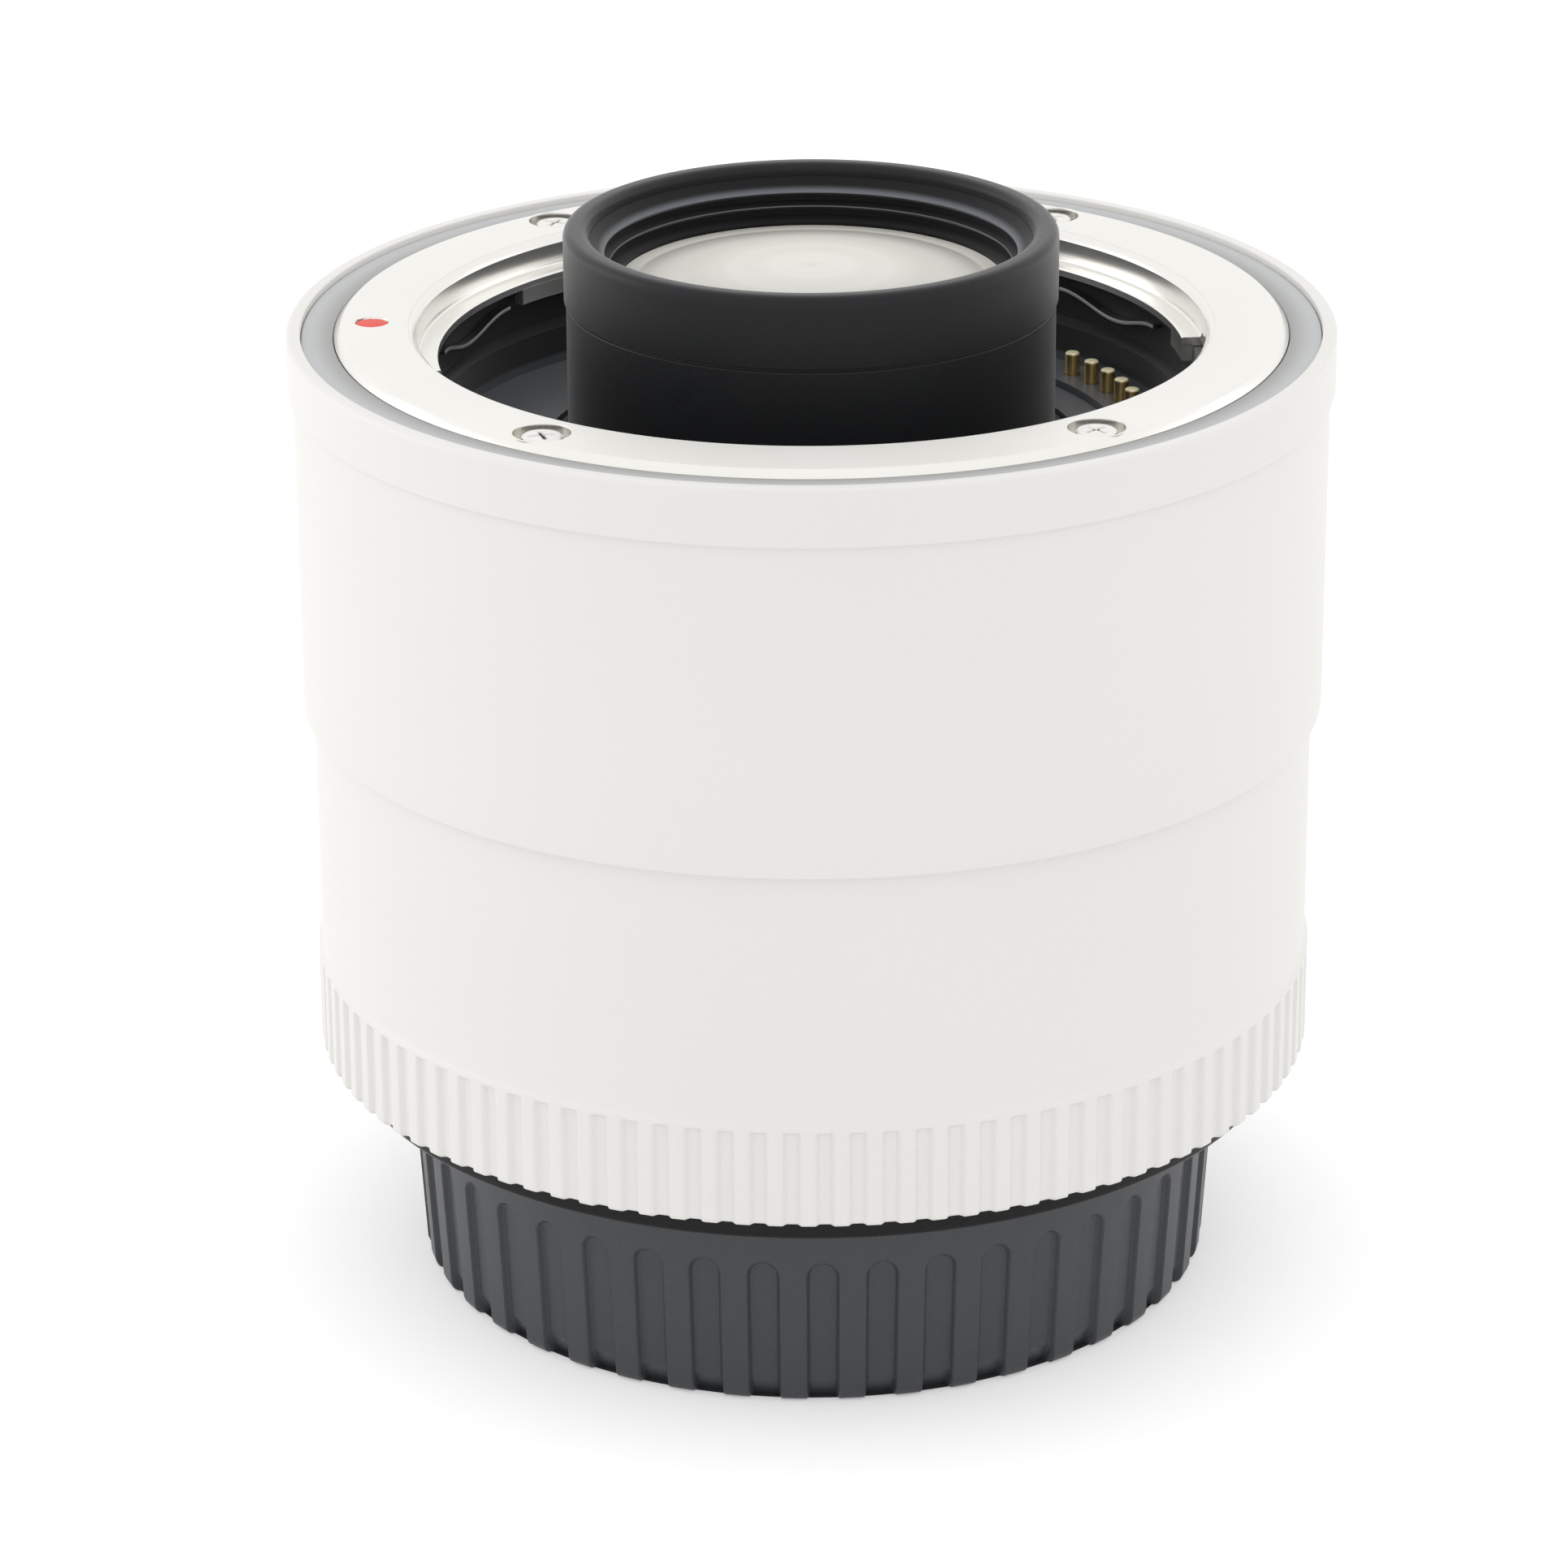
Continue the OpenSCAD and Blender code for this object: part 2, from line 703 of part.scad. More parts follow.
module contact_block() {
    color([0.16, 0.16, 0.17])
        difference() {
            ring_part(block_out, block_in, block_z, block_top, block_a0, block_a1);
            for (i = [1 : pin_count])
                at(pins_at, pin_angle(i)) {
                    rod(pin_r + fit_gap, block_z - 1, block_top + 1);
                    rod(cavity_r, block_z - 1, block_top - block_roof);
                }
        }
}

module contact_pin(i) {
    dome = 0.2;
    color("gold")
        at(pins_at, pin_angle(i)) {
            rod(pin_r, pin_collar_z, pin_top - dome);
            translate([0, 0, pin_top - dome]) cylinder(r1 = pin_r, r2 = pin_r - dome, h = dome);
            rod(pin_collar_r, pin_collar_z, pin_collar_z + pin_collar_t);
            rod(pin_tail_r, pin_collar_z - pin_tail_h, pin_collar_z + eps);
        }
}

module contact_springs() {
    inside = pin_tail_r + spring_gap;
    color("khaki")
        for (i = [1 : pin_count])
            at(pins_at, pin_angle(i)) ring(inside + contact_spring_wall, inside, block_z, pin_collar_z);
}

module contact_board() {
    color("darkgreen")
        ring_part(block_out + contact_board_rim, block_in - contact_board_rim, web_top, block_z,
                  block_a0, block_a1);
}

module front_collar() {
    lip_r = lip_w / 2;
    lip_c = [collar_r - lip_r, collar_top - lip_r];
    color([0.17, 0.17, 0.18])
        rotate_extrude()
            polygon(concat(
                [[spigot_r + fit_gap, collar_z], [collar_r, collar_z]],
                arc(lip_c, lip_r, 0, 180, 12)));
}

module front_lens_tube() {
    color([0.17, 0.17, 0.18])
        rotate_extrude()
            polygon([
                [inner_bore, cell_top], [foot_r, cell_top], [foot_r, floor_z], [tube_r, floor_z],
                [tube_r, collar_z - collar_groove], [spigot_r, collar_z - collar_groove],
                [spigot_r, seat_z], [front_bore, seat_z], [front_bore, shoulder_z],
                [inner_r - shoulder_w, shoulder_z], [inner_r - shoulder_w, shoulder_z - shoulder_t],
                [inner_bore, shoulder_z - shoulder_t]]);
}

// A funnel with two sharp edges, each undercut so that it throws no light on the glass
module front_retainer() {
    outer = spigot_r;
    undercut = 0.4;
    shelf = 0.3;
    upper = [outer - 1.05, seat_z + 2.1];
    lower = [outer - 1.38, seat_z + 1.2];
    foot = [front_bore - 0.15, seat_z + 0.25];
    upper_back = upper[0] + undercut;
    lower_back = lower[0] + undercut;
    color([0.1, 0.1, 0.11])
        rotate_extrude()
            polygon([
                [foot[0], seat_z + fit_gap], [outer, seat_z + fit_gap], [outer, collar_top - lip_w / 2],
                upper, [upper_back, upper[1] - shelf], [upper_back, lower[1] + shelf],
                lower, [lower_back, lower[1] - shelf], [lower_back, foot[1] + shelf], foot]);
}

// The nine glass elements from front to rear, as edge heights and the sag of each face
module lens_element(i) {
    pair_cut = seat_z - front_doublet_h * 0.47;
    cut_1 = triplet_top - triplet_h * 0.34;
    cut_2 = triplet_top - triplet_h * 0.67;
    rear_cut = pair_top - rear_pair_h * 0.49;
    front_r = front_glass_d / 2;
    rear_glass_r = rear_glass_d / 2;
    color("azure", 0.4) {
        if (i == 1) glass(front_r, pair_cut, seat_z, -1.6, 1.1);
        if (i == 2) glass(front_r, shoulder_z, pair_cut - cement_gap, -0.9, 1.6);
        if (i == 3) glass(inner_r, single_top - single_h, single_top, 0.7, -0.9);
        if (i == 4) glass(inner_r, cut_1, triplet_top, 1.5, 1.2);
        if (i == 5) glass(inner_r, cut_2, cut_1 - cement_gap, -1.4, -1.5);
        if (i == 6) glass(inner_r, triplet_top - triplet_h, cut_2 - cement_gap, 0.8, 1.4);
        if (i == 7) glass(inner_r, rear_cut, pair_top, -1.5, -1.0);
        if (i == 8) glass(inner_r, pair_z, rear_cut - cement_gap, 1.0, 1.5);
        if (i == 9) glass(rear_glass_r, rear_seat - rear_single_h, rear_seat, 0.9, -0.8);
    }
}

module front_spacer() {
    color([0.1, 0.1, 0.11])
        ring(inner_r, inner_r - spacer_wall, triplet_top, single_top - single_h);
}

module middle_spacer() {
    color([0.1, 0.1, 0.11])
        ring(inner_r, inner_r - spacer_wall, pair_top, triplet_top - triplet_h);
}

module main_cell() {
    color([0.2, 0.2, 0.21])
        difference() {
            rotate_extrude()
                polygon([
                    [inner_bore, cell_top], [cell_r, cell_top], [cell_r, web_top + cell_flange_t],
                    [cell_flange_r, web_top + cell_flange_t], [cell_flange_r, web_top],
                    [cell_r, web_top], [cell_r, web_z], [cell_low_r, web_z], [cell_low_r, cell_z],
                    [rear_bore, cell_z], [rear_bore, rear_seat], [inner_r - ledge_w, rear_seat],
                    [inner_r - ledge_w, pair_z], [inner_bore, pair_z]]);
            ring_part(block_out, block_in - contact_board_rim - move_gap, web_top - 1,
                      web_top + cell_flange_t + 1, block_a0 - block_slot_deg, block_a1 + block_slot_deg);
            for (a = cell_screw_angles)
                at(cell_screw_at, a) rod(screw_r + fit_gap, web_top - 1, web_top + cell_flange_t + 1);
        }
}

module cell_screws() {
    color("gainsboro")
        for (a = cell_screw_angles)
            at(cell_screw_at, a)
                screw(web_top + cell_flange_t + head_h, cell_flange_t + head_h + thread_bite);
}

module rear_retainer() {
    color([0.1, 0.1, 0.11])
        ring(rear_bore - fit_gap, rear_bore - spacer_wall, cell_z, cell_z + rear_retainer_h);
}

module chassis() {
    flex_slot_w = flex_w + 1;
    color("lightslategray")
        difference() {
            union() {
                rotate_extrude()
                    polygon([
                        [foot_flange_in, chassis_z], [chassis_neck, chassis_z],
                        [chassis_neck, chassis_z + chassis_neck_h],
                        [chassis_r, chassis_z + chassis_neck_h],
                        [chassis_r, ring_z], [lining_out + fit_gap, ring_z],
                        [lining_out + fit_gap, top_flange_z], [chassis_in, top_flange_z],
                        [chassis_in, web_top], [cell_r + fit_gap, web_top], [cell_r + fit_gap, web_z],
                        [chassis_in, web_z], [chassis_in, chassis_z + foot_flange_t],
                        [foot_flange_in, chassis_z + foot_flange_t]]);
                for (a = board_screw_angles)
                    at(board_screw_at, a) rod(post_r, board_top, web_z + eps);
            }
            mount_screw_places() rod(screw_r + fit_gap, top_flange_z - 1, ring_z + 1);
            at(lock_at, 90) rod(arm_r + move_gap, web_top, ring_z + 1);
            for (a = cell_screw_angles)
                at(cell_screw_at, a) rod(screw_r + fit_gap, web_z - 1, web_top + 1);
            for (a = board_screw_angles)
                at(board_screw_at, a) rod(screw_r + fit_gap, board_top - 1, web_top - 0.8);
            for (a = rear_screw_angles)
                at(rear_mount_r, a) rod(screw_r + fit_gap, chassis_z - 1, chassis_z + foot_flange_t + 1);
            rotate(90) spoke(chassis_in - 2, chassis_r + 2, slot_w, slot_z, slot_z + slot_h);
            rotate(flex_deg) spoke(flex_at - 0.6, flex_at + 0.9, flex_slot_w, web_z - 1, web_top + 1);
        }
}

module circuit_board() {
    color("darkgreen")
        difference() {
            ring_part(board_out, board_in, board_z, board_top, board_a0, board_a1);
            for (a = board_screw_angles)
                at(board_screw_at, a) rod(screw_r + fit_gap, board_z - 1, board_top + 1);
        }
}

// Chips hang from the lower face of the board: angle, length along the radius, width, height
module board_chips() {
    chips = [[-25, 5, 5, 1.0], [20, 6, 7, 1.1], [80, 7, 7, 1.2], [110, 4, 3, 0.8], [-60, 3, 4, 0.8]];
    color("black")
        for (c = chips)
            rotate(c[0])
                spoke(board_screw_at - c[1] / 2, board_screw_at + c[1] / 2, c[2], board_z - c[3], board_z);
}

module board_screws() {
    color("gainsboro")
        for (a = board_screw_angles)
            at(board_screw_at, a)
                translate([0, 0, 2 * board_z]) mirror([0, 0, 1])
                    screw(board_z + head_h, board_t + head_h + board_bite);
}

module flex_cable() {
    color("darkgoldenrod")
        rotate(flex_deg) {
            spoke(flex_at, flex_at + flex_t, flex_w, board_top, web_top);
            spoke(flex_at, flex_at + flex_t, flex_w, baffle_z + baffle_t + rear_block_rim, board_z);
        }
}

module rear_mount() {
    bevel = 0.3;
    color("silver")
        difference() {
            union() {
                rotate_extrude()
                    polygon([
                        [bayonet_in, bayonet_z], [bayonet_r - bevel, bayonet_z],
                        [bayonet_r, bayonet_z + bevel], [bayonet_r, rear_z],
                        [rear_flange_r - bevel, rear_z],
                        [rear_flange_r, rear_z + bevel], [rear_flange_r, shim_z],
                        [bayonet_in, shim_z]]);
                ring_part(bayonet_in + 0.2, bayonet_in - baffle_lip, baffle_z - baffle_lip_t, baffle_z,
                          rear_a1 + rear_ear + 2, 360 + rear_a0 - rear_ear - 2);
                for (a = lug_centres)
                    ring_part(rear_lug_r, bayonet_r - 0.2, bayonet_z + bevel, rear_lug_top,
                              a - rear_lug_deg / 2, a + rear_lug_deg / 2);
            }
            for (a = rear_screw_angles)
                at(rear_mount_r, a) {
                    rod(screw_r + fit_gap, rear_z - 1, shim_z + 1);
                    rod(head_r + fit_gap, rear_z - 1, rear_z + head_h);
                }
            at(rear_mount_r, 120) rod(dot_d / 2, rear_z - 1, rear_z + dot_depth);
        }
}

module rear_mount_screws() {
    color("gainsboro")
        for (a = rear_screw_angles)
            at(rear_mount_r, a)
                translate([0, 0, 2 * rear_z]) mirror([0, 0, 1])
                    screw(rear_z, rear_flange_t + shim_t + thread_bite);
}

module mount_shim() {
    color("goldenrod")
        difference() {
            ring(rear_flange_r - 0.2, foot_flange_in + 0.8, shim_z, chassis_z);
            for (a = rear_screw_angles)
                at(rear_mount_r, a) rod(screw_r + fit_gap, shim_z - 1, chassis_z + 1);
        }
}

module rear_contact_block() {
    rim_top = baffle_z + baffle_t + rear_block_rim;
    ear_step = 0.15;
    color([0.1, 0.1, 0.11])
        difference() {
            union() {
                ring_part(rear_block_out, rear_block_in, rear_block_z, rim_top, rear_a0, rear_a1);
                ring_part(rear_block_out - ear_step, rear_block_in + ear_step, baffle_z + baffle_t,
                          rim_top - ear_step, rear_a0 - rear_ear, rear_a1 + rear_ear);
            }
            rear_block_screw_places() rod(screw_r + fit_gap, baffle_z, rim_top + 1);
            for (i = [0 : rear_pad_count - 1])
                at(pins_at, rear_pad_angle(i)) rod(rear_pad_r, rear_block_z - 1, rear_block_z + rear_pad_t);
        }
}

// Angle of rear contact pad i, counted from 0
function rear_pad_angle(i) = rear_a0 + rear_end_deg + i * pin_pitch;

module rear_block_screw_places() {
    for (a = [rear_a0 - rear_ear / 2, rear_a1 + rear_ear / 2])
        at(rear_block_mid, a) children();
}

module rear_contact_pads() {
    color("gold")
        for (i = [0 : rear_pad_count - 1])
            at(pins_at, rear_pad_angle(i))
                rod(rear_pad_r - fit_gap, rear_block_z - 0.05, rear_block_z + rear_pad_t);
}

module rear_contact_screws() {
    color("gainsboro")
        rear_block_screw_places()
            translate([0, 0, 2 * baffle_z]) mirror([0, 0, 1])
                screw(baffle_z, baffle_t + rear_block_rim - 0.3);
}

module rear_baffle() {
    color([0.08, 0.08, 0.09])
        difference() {
            rod(baffle_r, baffle_z, baffle_z + baffle_t);
            translate([-aperture[0] / 2, -aperture[1] / 2, baffle_z - 1])
                cube([aperture[0], aperture[1], baffle_t + 2]);
            ring_part(rear_block_out + fit_gap, rear_block_in - fit_gap, baffle_z - 1,
                      baffle_z + baffle_t + 1, rear_a0 - 0.2, rear_a1 + 0.2);
            rear_block_screw_places() {
                rod(screw_r + fit_gap, baffle_z - 1, baffle_z + baffle_t + 1);
                rod(head_r + fit_gap, baffle_z - 1, baffle_z + head_h);
            }
        }
}

module seal_ring() {
    bevel = 0.25;
    color([0.05, 0.05, 0.06])
        rotate_extrude()
            polygon([
                [rear_flange_r + fit_gap, seal_z], [seal_r - bevel, seal_z], [seal_r, seal_z + bevel],
                [seal_r, barrel_z], [rear_flange_r + fit_gap, barrel_z]]);
}

module rear_index_dot() {
    color("crimson")
        at(rear_mount_r, 120) rod(dot_d / 2 - fit_gap, rear_z + 0.03, rear_z + dot_depth);
}

module rear_cap() {
    top_r = cap_r + cap_h * cap_slope;
    core_r = cap_r - flute_depth;
    core_foot = core_r - flute_foot_in;
    color([0.2, 0.2, 0.21])
        union() {
            difference() {
                rotate_extrude()
                    polygon(concat(
                        [[0, 0]], arc([cap_r - cap_edge, cap_edge], cap_edge, -90, 0),
                        [[top_r, cap_h], [cap_bore, cap_h], [cap_bore, cap_floor], [0, cap_floor]]));
                difference() {
                    for (i = [0 : flute_count - 1]) rotate(i * 360 / flute_count) flute();
                    rotate_extrude()
                        polygon([
                            [0, -1], [core_foot, -1], [core_foot, 0],
                            [core_r + flute_foot_h * cap_slope, flute_foot_h],
                            [core_r + (cap_h + 1) * cap_slope, cap_h + 1], [0, cap_h + 1]]);
                }
            }
            for (a = gap_centres)
                ring_part(cap_bore + cap_lug_root, cap_lug_in, cap_lug_z, cap_lug_z + cap_lug_t,
                          a - cap_lug_deg / 2, a + cap_lug_deg / 2);
        }
}

// A flute's cutter: an upright slot with a round top that reaches in from outside the cap
module flute() {
    middle = flute_h - flute_w / 2;
    spoke(cap_r - flute_bite, cap_r + flute_clear, flute_w, -1, middle);
    translate([cap_r - flute_bite, 0, middle])
        rotate([0, 90, 0]) cylinder(d = flute_w, h = flute_bite + flute_clear);
}

front_band();
main_barrel();
rear_barrel();
trim_ring();
lens_mount_ring();
lens_mount_screws();
index_dot();
mount_springs();
lock_pin();
lock_pin_spring();
release_lever();
throat_lining();
contact_block();
contact_springs();
contact_board();
front_collar();
front_lens_tube();
front_retainer();
front_spacer();
main_cell();
middle_spacer();
rear_retainer();
chassis();
cell_screws();
circuit_board();
board_chips();
board_screws();
flex_cable();
rear_mount();
rear_mount_screws();
mount_shim();
rear_contact_block();
rear_contact_pads();
rear_contact_screws();
rear_baffle();
seal_ring();
rear_index_dot();
rear_cap();
for (i = [1 : pin_count])
    contact_pin(i);
for (i = [1 : glass_count])
    lens_element(i);
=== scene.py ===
# %% [markdown]
# A camera teleconverter, dressed for a studio picture.
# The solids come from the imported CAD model, so every size and place is already settled.
# This lesson gives them finer skins, finishes, light and a camera, and leaves their motion alone.

# %% Load the frame
import json
import math

import bpy
import mathutils
import numpy as np
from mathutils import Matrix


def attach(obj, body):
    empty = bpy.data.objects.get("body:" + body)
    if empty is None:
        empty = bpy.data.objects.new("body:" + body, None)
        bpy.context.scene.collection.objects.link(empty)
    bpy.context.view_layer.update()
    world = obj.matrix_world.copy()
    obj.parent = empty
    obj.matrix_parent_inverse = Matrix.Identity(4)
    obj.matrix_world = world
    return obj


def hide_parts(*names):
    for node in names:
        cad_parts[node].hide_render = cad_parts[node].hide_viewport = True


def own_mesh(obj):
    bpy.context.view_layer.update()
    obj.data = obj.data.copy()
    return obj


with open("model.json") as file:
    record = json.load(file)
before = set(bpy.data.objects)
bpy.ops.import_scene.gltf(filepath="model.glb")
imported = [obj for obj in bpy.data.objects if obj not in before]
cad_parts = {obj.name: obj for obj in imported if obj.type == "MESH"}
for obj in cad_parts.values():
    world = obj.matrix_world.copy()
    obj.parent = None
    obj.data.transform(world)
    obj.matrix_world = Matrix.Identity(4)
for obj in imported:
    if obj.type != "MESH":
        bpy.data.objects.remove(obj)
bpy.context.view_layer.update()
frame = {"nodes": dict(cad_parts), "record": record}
MM = 0.001
TURN = 2 * math.pi

# %% [markdown]
# Sizes that more than one cell needs stand here, in mm. They are those of the CAD model, and heights
# count from the foot of the cap.

# %% Shared sizes
RIM_R, MAIN_R, REAR_R, SHELL_R = 35.9, 35.55, 34.85, 33.35
TRIM_R, RING_R, THROAT_R = 34.85, 32.63, 27.0
FRONT_Z, RING_Z, BAND_Z, BAND_TOP, SEAM_Z, BARREL_Z = 68.7, 66.2, 64.6, 68.6, 41.9, 16.67
FLOOR_Z, COLLAR_TOP = FRONT_Z - 8.9, FRONT_Z + 6.6
FIT, TRIM_DROP, HEAD_DROP = 0.05, 0.5, 0.2
LEAF_IN, PIN_TOP, ARM_Z, ARM_TOP = 25.65, 61.9, 59.0, 61.0
COLLAR_IN, GLASS_R = 15.15, 13.3
LEDGE_R, LEDGE_Z, EDGE_R, EDGE_Z = 14.05, 73.5, 13.72, 72.6

# %% [markdown]
# Nearly every part here was turned on a lathe: an outline in radius and height is spun about the
# optical axis. Such a surface is a grid of points with one row for each outline point and one column
# for each angle, and numpy works out the whole grid at once.
# A corner on a real part is never knife sharp. The outline's corners are eased before they are spun,
# because a small round catches a line of light, and that line is what makes metal look like metal.

# %% Outlines and grids
def eased(corners, steps=4):
    """A closed outline, in mm, from rows of radius, height and setback.

    Each corner becomes the curve (1-t)^2 start + 2t(1-t) corner + t^2 end. Start and end lie one
    setback away from the corner on its two sides, or 0.42 of the shorter side where that is less.
    A point beyond each keeps the side flat.
    """
    rows = np.array(corners, float)
    corner, setback = rows[:, :2], rows[:, 2]
    back = np.roll(corner, 1, axis=0) - corner
    ahead = np.roll(corner, -1, axis=0) - corner
    back_length = np.linalg.norm(back, axis=1)
    ahead_length = np.linalg.norm(ahead, axis=1)
    most = 0.42 * np.minimum(back_length, ahead_length)
    reach = np.minimum(setback, most)[:, None]
    to_back, to_ahead = back / back_length[:, None], ahead / ahead_length[:, None]
    start, end = corner + to_back * reach, corner + to_ahead * reach
    t = np.linspace(0, 1, steps + 1)[None, :, None]
    curve = (1 - t) ** 2 * start[:, None] + 2 * t * (1 - t) * corner[:, None] + t ** 2 * end[:, None]
    hold = 1.15
    first, last = corner + to_back * reach * hold, corner + to_ahead * reach * hold
    return np.concatenate([first[:, None], curve, last[:, None]], axis=1).reshape(-1, 2)


def around(count):
    """Evenly spaced angles of one whole turn, in radians."""
    return np.arange(count) * TURN / count


def turned(outline, angles):
    """Points (r(s) cos a, r(s) sin a, z(s)) for each outline point s and each angle a."""
    r, z = outline[:, :1], outline[:, 1:]
    return np.stack(np.broadcast_arrays(r * np.cos(angles), r * np.sin(angles), z), axis=-1)


def quads(rows, columns, wrap_rows=True, wrap_columns=True):
    """Four-sided faces between neighbouring points of a grid that is numbered row by row."""
    row = np.arange(rows if wrap_rows else rows - 1)[:, None]
    column = np.arange(columns if wrap_columns else columns - 1)[None, :]
    row_2, column_2 = (row + 1) % rows, (column + 1) % columns
    faces = np.stack([row * columns + column, row * columns + column_2,
                      row_2 * columns + column_2, row_2 * columns + column], axis=-1)
    return faces.reshape(-1, 4)


def ring_skin(points):
    """A grid that closes on itself both ways, as a turned ring does."""
    rows, columns = points.shape[:2]
    return points.reshape(-1, 3), quads(rows, columns).tolist()


def plug_skin(points):
    """A turned solid: the first and last rows lie on the axis, and each becomes one point."""
    rows, columns = points.shape[:2]
    body = points[1:-1].reshape(-1, 3)
    top, bottom = len(body), len(body) + 1
    edge = np.arange(columns)
    turn = (edge + 1) % columns
    low = (rows - 3) * columns
    fans = np.concatenate([np.stack([turn, edge, np.full(columns, top)], axis=1),
                           np.stack([low + edge, low + turn, np.full(columns, bottom)], axis=1)])
    faces = quads(rows - 2, columns, wrap_rows=False).tolist() + fans.tolist()
    return np.concatenate([body, points[0, :1], points[-1, :1]]), faces


def bar_skin(points):
    """A closed outline carried along an open path, with a flat face at each end."""
    rows, columns = points.shape[:2]
    ends = [(np.arange(rows) * columns).tolist(),
            (np.arange(rows)[::-1] * columns + columns - 1).tolist()]
    return points.reshape(-1, 3), quads(rows, columns, wrap_columns=False).tolist() + ends


# %% Meshes
def volume(points, faces):
    """Six times the signed volume under all faces, to tell which way they point."""
    sides = [np.array([f for f in faces if len(f) == n]) for n in {len(f) for f in faces}]
    total = 0.0
    for group in sides:
        a = points[group[:, 0]]
        for k in range(1, group.shape[1] - 1):
            total += np.einsum("ij,ij->i", a, np.cross(points[group[:, k]], points[group[:, k + 1]])).sum()
    return total


def piece(name, skins, body, slot, stands_for=(), sharp=38):
    """One mesh object from several closed skins in mm. It rides on a body and takes a slot's finish."""
    all_points, all_faces, base = [], [], 0
    for points, faces in skins:
        turn = 1 if volume(points, faces) > 0 else -1
        all_points.append(points)
        all_faces += [[base + i for i in f[::turn]] for f in faces]
        base += len(points)
    mesh = bpy.data.meshes.new(name)
    mesh.from_pydata((np.concatenate(all_points) * MM).tolist(), [], all_faces)
    mesh.shade_smooth()
    mesh.set_sharp_from_angle(angle=math.radians(sharp))
    made = bpy.data.objects.new(name, mesh)
    bpy.context.scene.collection.objects.link(made)
    mesh.materials.append(finish[slot])
    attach(made, body)
    if stands_for:
        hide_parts(*stands_for)
    print(name, len(mesh.vertices), "points")
    return made


def ring_piece(name, outline, steps, slot, node):
    """A fixed ring, spun from its outline, that stands for a CAD node."""
    return piece(name, [ring_skin(turned(outline, around(steps)))], "converter", slot, [node])


# %% [markdown]
# Shaders are sums, so they read best as sums. The class below wraps a socket, and each operator adds
# the Math node that works it out. Its node method adds any node at all, and its last three methods add
# the nodes that are wanted most often.
# Patterns are read from Object coordinates in metres, so a scale of 1000 means one cell to a millimetre.

# %% Shader expressions
class Wire:
    """A shader socket that can stand in a Python expression."""

    def __init__(self, tree, socket):
        self.tree, self.socket = tree, socket

    def node(self, kind, settings=None, inputs=None, out=0):
        """Adds a node of that type: settings first, then a value or a link for each input."""
        added = self.tree.nodes.new(kind)
        for key, value in (settings or {}).items():
            setattr(added, key, value)
        for key, value in (inputs or {}).items():
            if isinstance(value, Wire):
                self.tree.links.new(value.socket, added.inputs[key])
            else:
                added.inputs[key].default_value = value
        return Wire(self.tree, added.outputs[out])

    def math(self, operation, *values):
        """Adds a Math node over the values in order."""
        return self.node("ShaderNodeMath", {"operation": operation}, dict(enumerate(values)))

    def __add__(self, other):
        return self.math("ADD", self, other)

    def __sub__(self, other):
        return self.math("SUBTRACT", self, other)

    def __rsub__(self, other):
        return self.math("SUBTRACT", other, self)

    def __mul__(self, other):
        return self.math("MULTIPLY", self, other)

    def __rmul__(self, other):
        return self.math("MULTIPLY", other, self)

    def __pow__(self, other):
        return self.math("POWER", self, other)

    def noise(self, scale, detail=2.0):
        """Smooth random values about 0.5, with cells of one over scale metres."""
        return self.node("ShaderNodeTexNoise", {}, {"Vector": self, "Scale": scale, "Detail": detail})

    def between(self, low, high):
        """0 below low, 1 above high, and a smooth step from one to the other."""
        return self.node("ShaderNodeMapRange", {"interpolation_type": "SMOOTHSTEP"},
                         {0: self, 1: low, 2: high, 3: 0.0, 4: 1.0})

    def blend(self, first, second):
        """A colour that goes from first at 0 to second at 1."""
        colours = {key: value if isinstance(value, Wire) else (*value, 1)
                   for key, value in ((6, first), (7, second))}
        return self.node("ShaderNodeMix", {"data_type": "RGBA"}, {0: self, **colours}, out=2)


# %% Material builder
finish = {}


def new_material(slot):
    """An empty node material for a slot, and its Object coordinates."""
    material = bpy.data.materials.new(slot)
    material.use_nodes = True
    material.node_tree.nodes.clear()
    finish[slot] = material
    tree = material.node_tree
    return Wire(tree, tree.nodes.new("ShaderNodeTexCoord").outputs["Object"])


def surface(at, inputs, relief=None, depth=0.0):
    """Ends a material in a Principled shader, with a bump where a relief from 0 to 1 is given."""
    if relief is not None:
        inputs["Normal"] = at.node("ShaderNodeBump", {}, {"Height": relief, "Distance": depth})
    shader = at.node("ShaderNodeBsdfPrincipled", {}, inputs)
    ending = at.tree.nodes.new("ShaderNodeOutputMaterial")
    at.tree.links.new(shader.socket, ending.inputs["Surface"])


# %% [markdown]
# The barrel wears a satin off-white lacquer. Sprayed lacquer dries with a very fine grain, and under
# soft light that grain is all that tells it from plain plastic. Two noises do it: a fine one for the
# grain, which sets the bump and the roughness, and a broad faint one so that no two patches match.

# %% White lacquer
at = new_material("white_paint")
grain, cloud = at.noise(3600.0, 3.0), at.noise(40.0)
surface(at, {"Base Color": cloud.blend((0.825, 0.812, 0.785), (0.85, 0.838, 0.812)),
             "Roughness": grain * 0.16 + 0.34, "Specular IOR Level": 0.4}, grain, 0.00002)

print("lacquer done")

# %% [markdown]
# The mount ring is stainless steel. Its face is turned on a lathe, and the tool leaves rings about the
# axis that are too fine to count but that stretch each highlight sideways. A one-dimensional noise of
# the radius gives such rings, because the radius is the same all the way round. The walls and lugs
# below the face are polished. A smooth step of the height tells the two apart.
# The grey ring beside it is a satin coat with painted shade: darker next to the steel ring, paler
# towards the rim. The leaf springs are dark, with a painted highlight along their inner edge.

# %% Metals
def axis(at, k):
    """One of the three coordinates, in metres."""
    return at.node("ShaderNodeSeparateXYZ", {}, {0: at}, out=k)


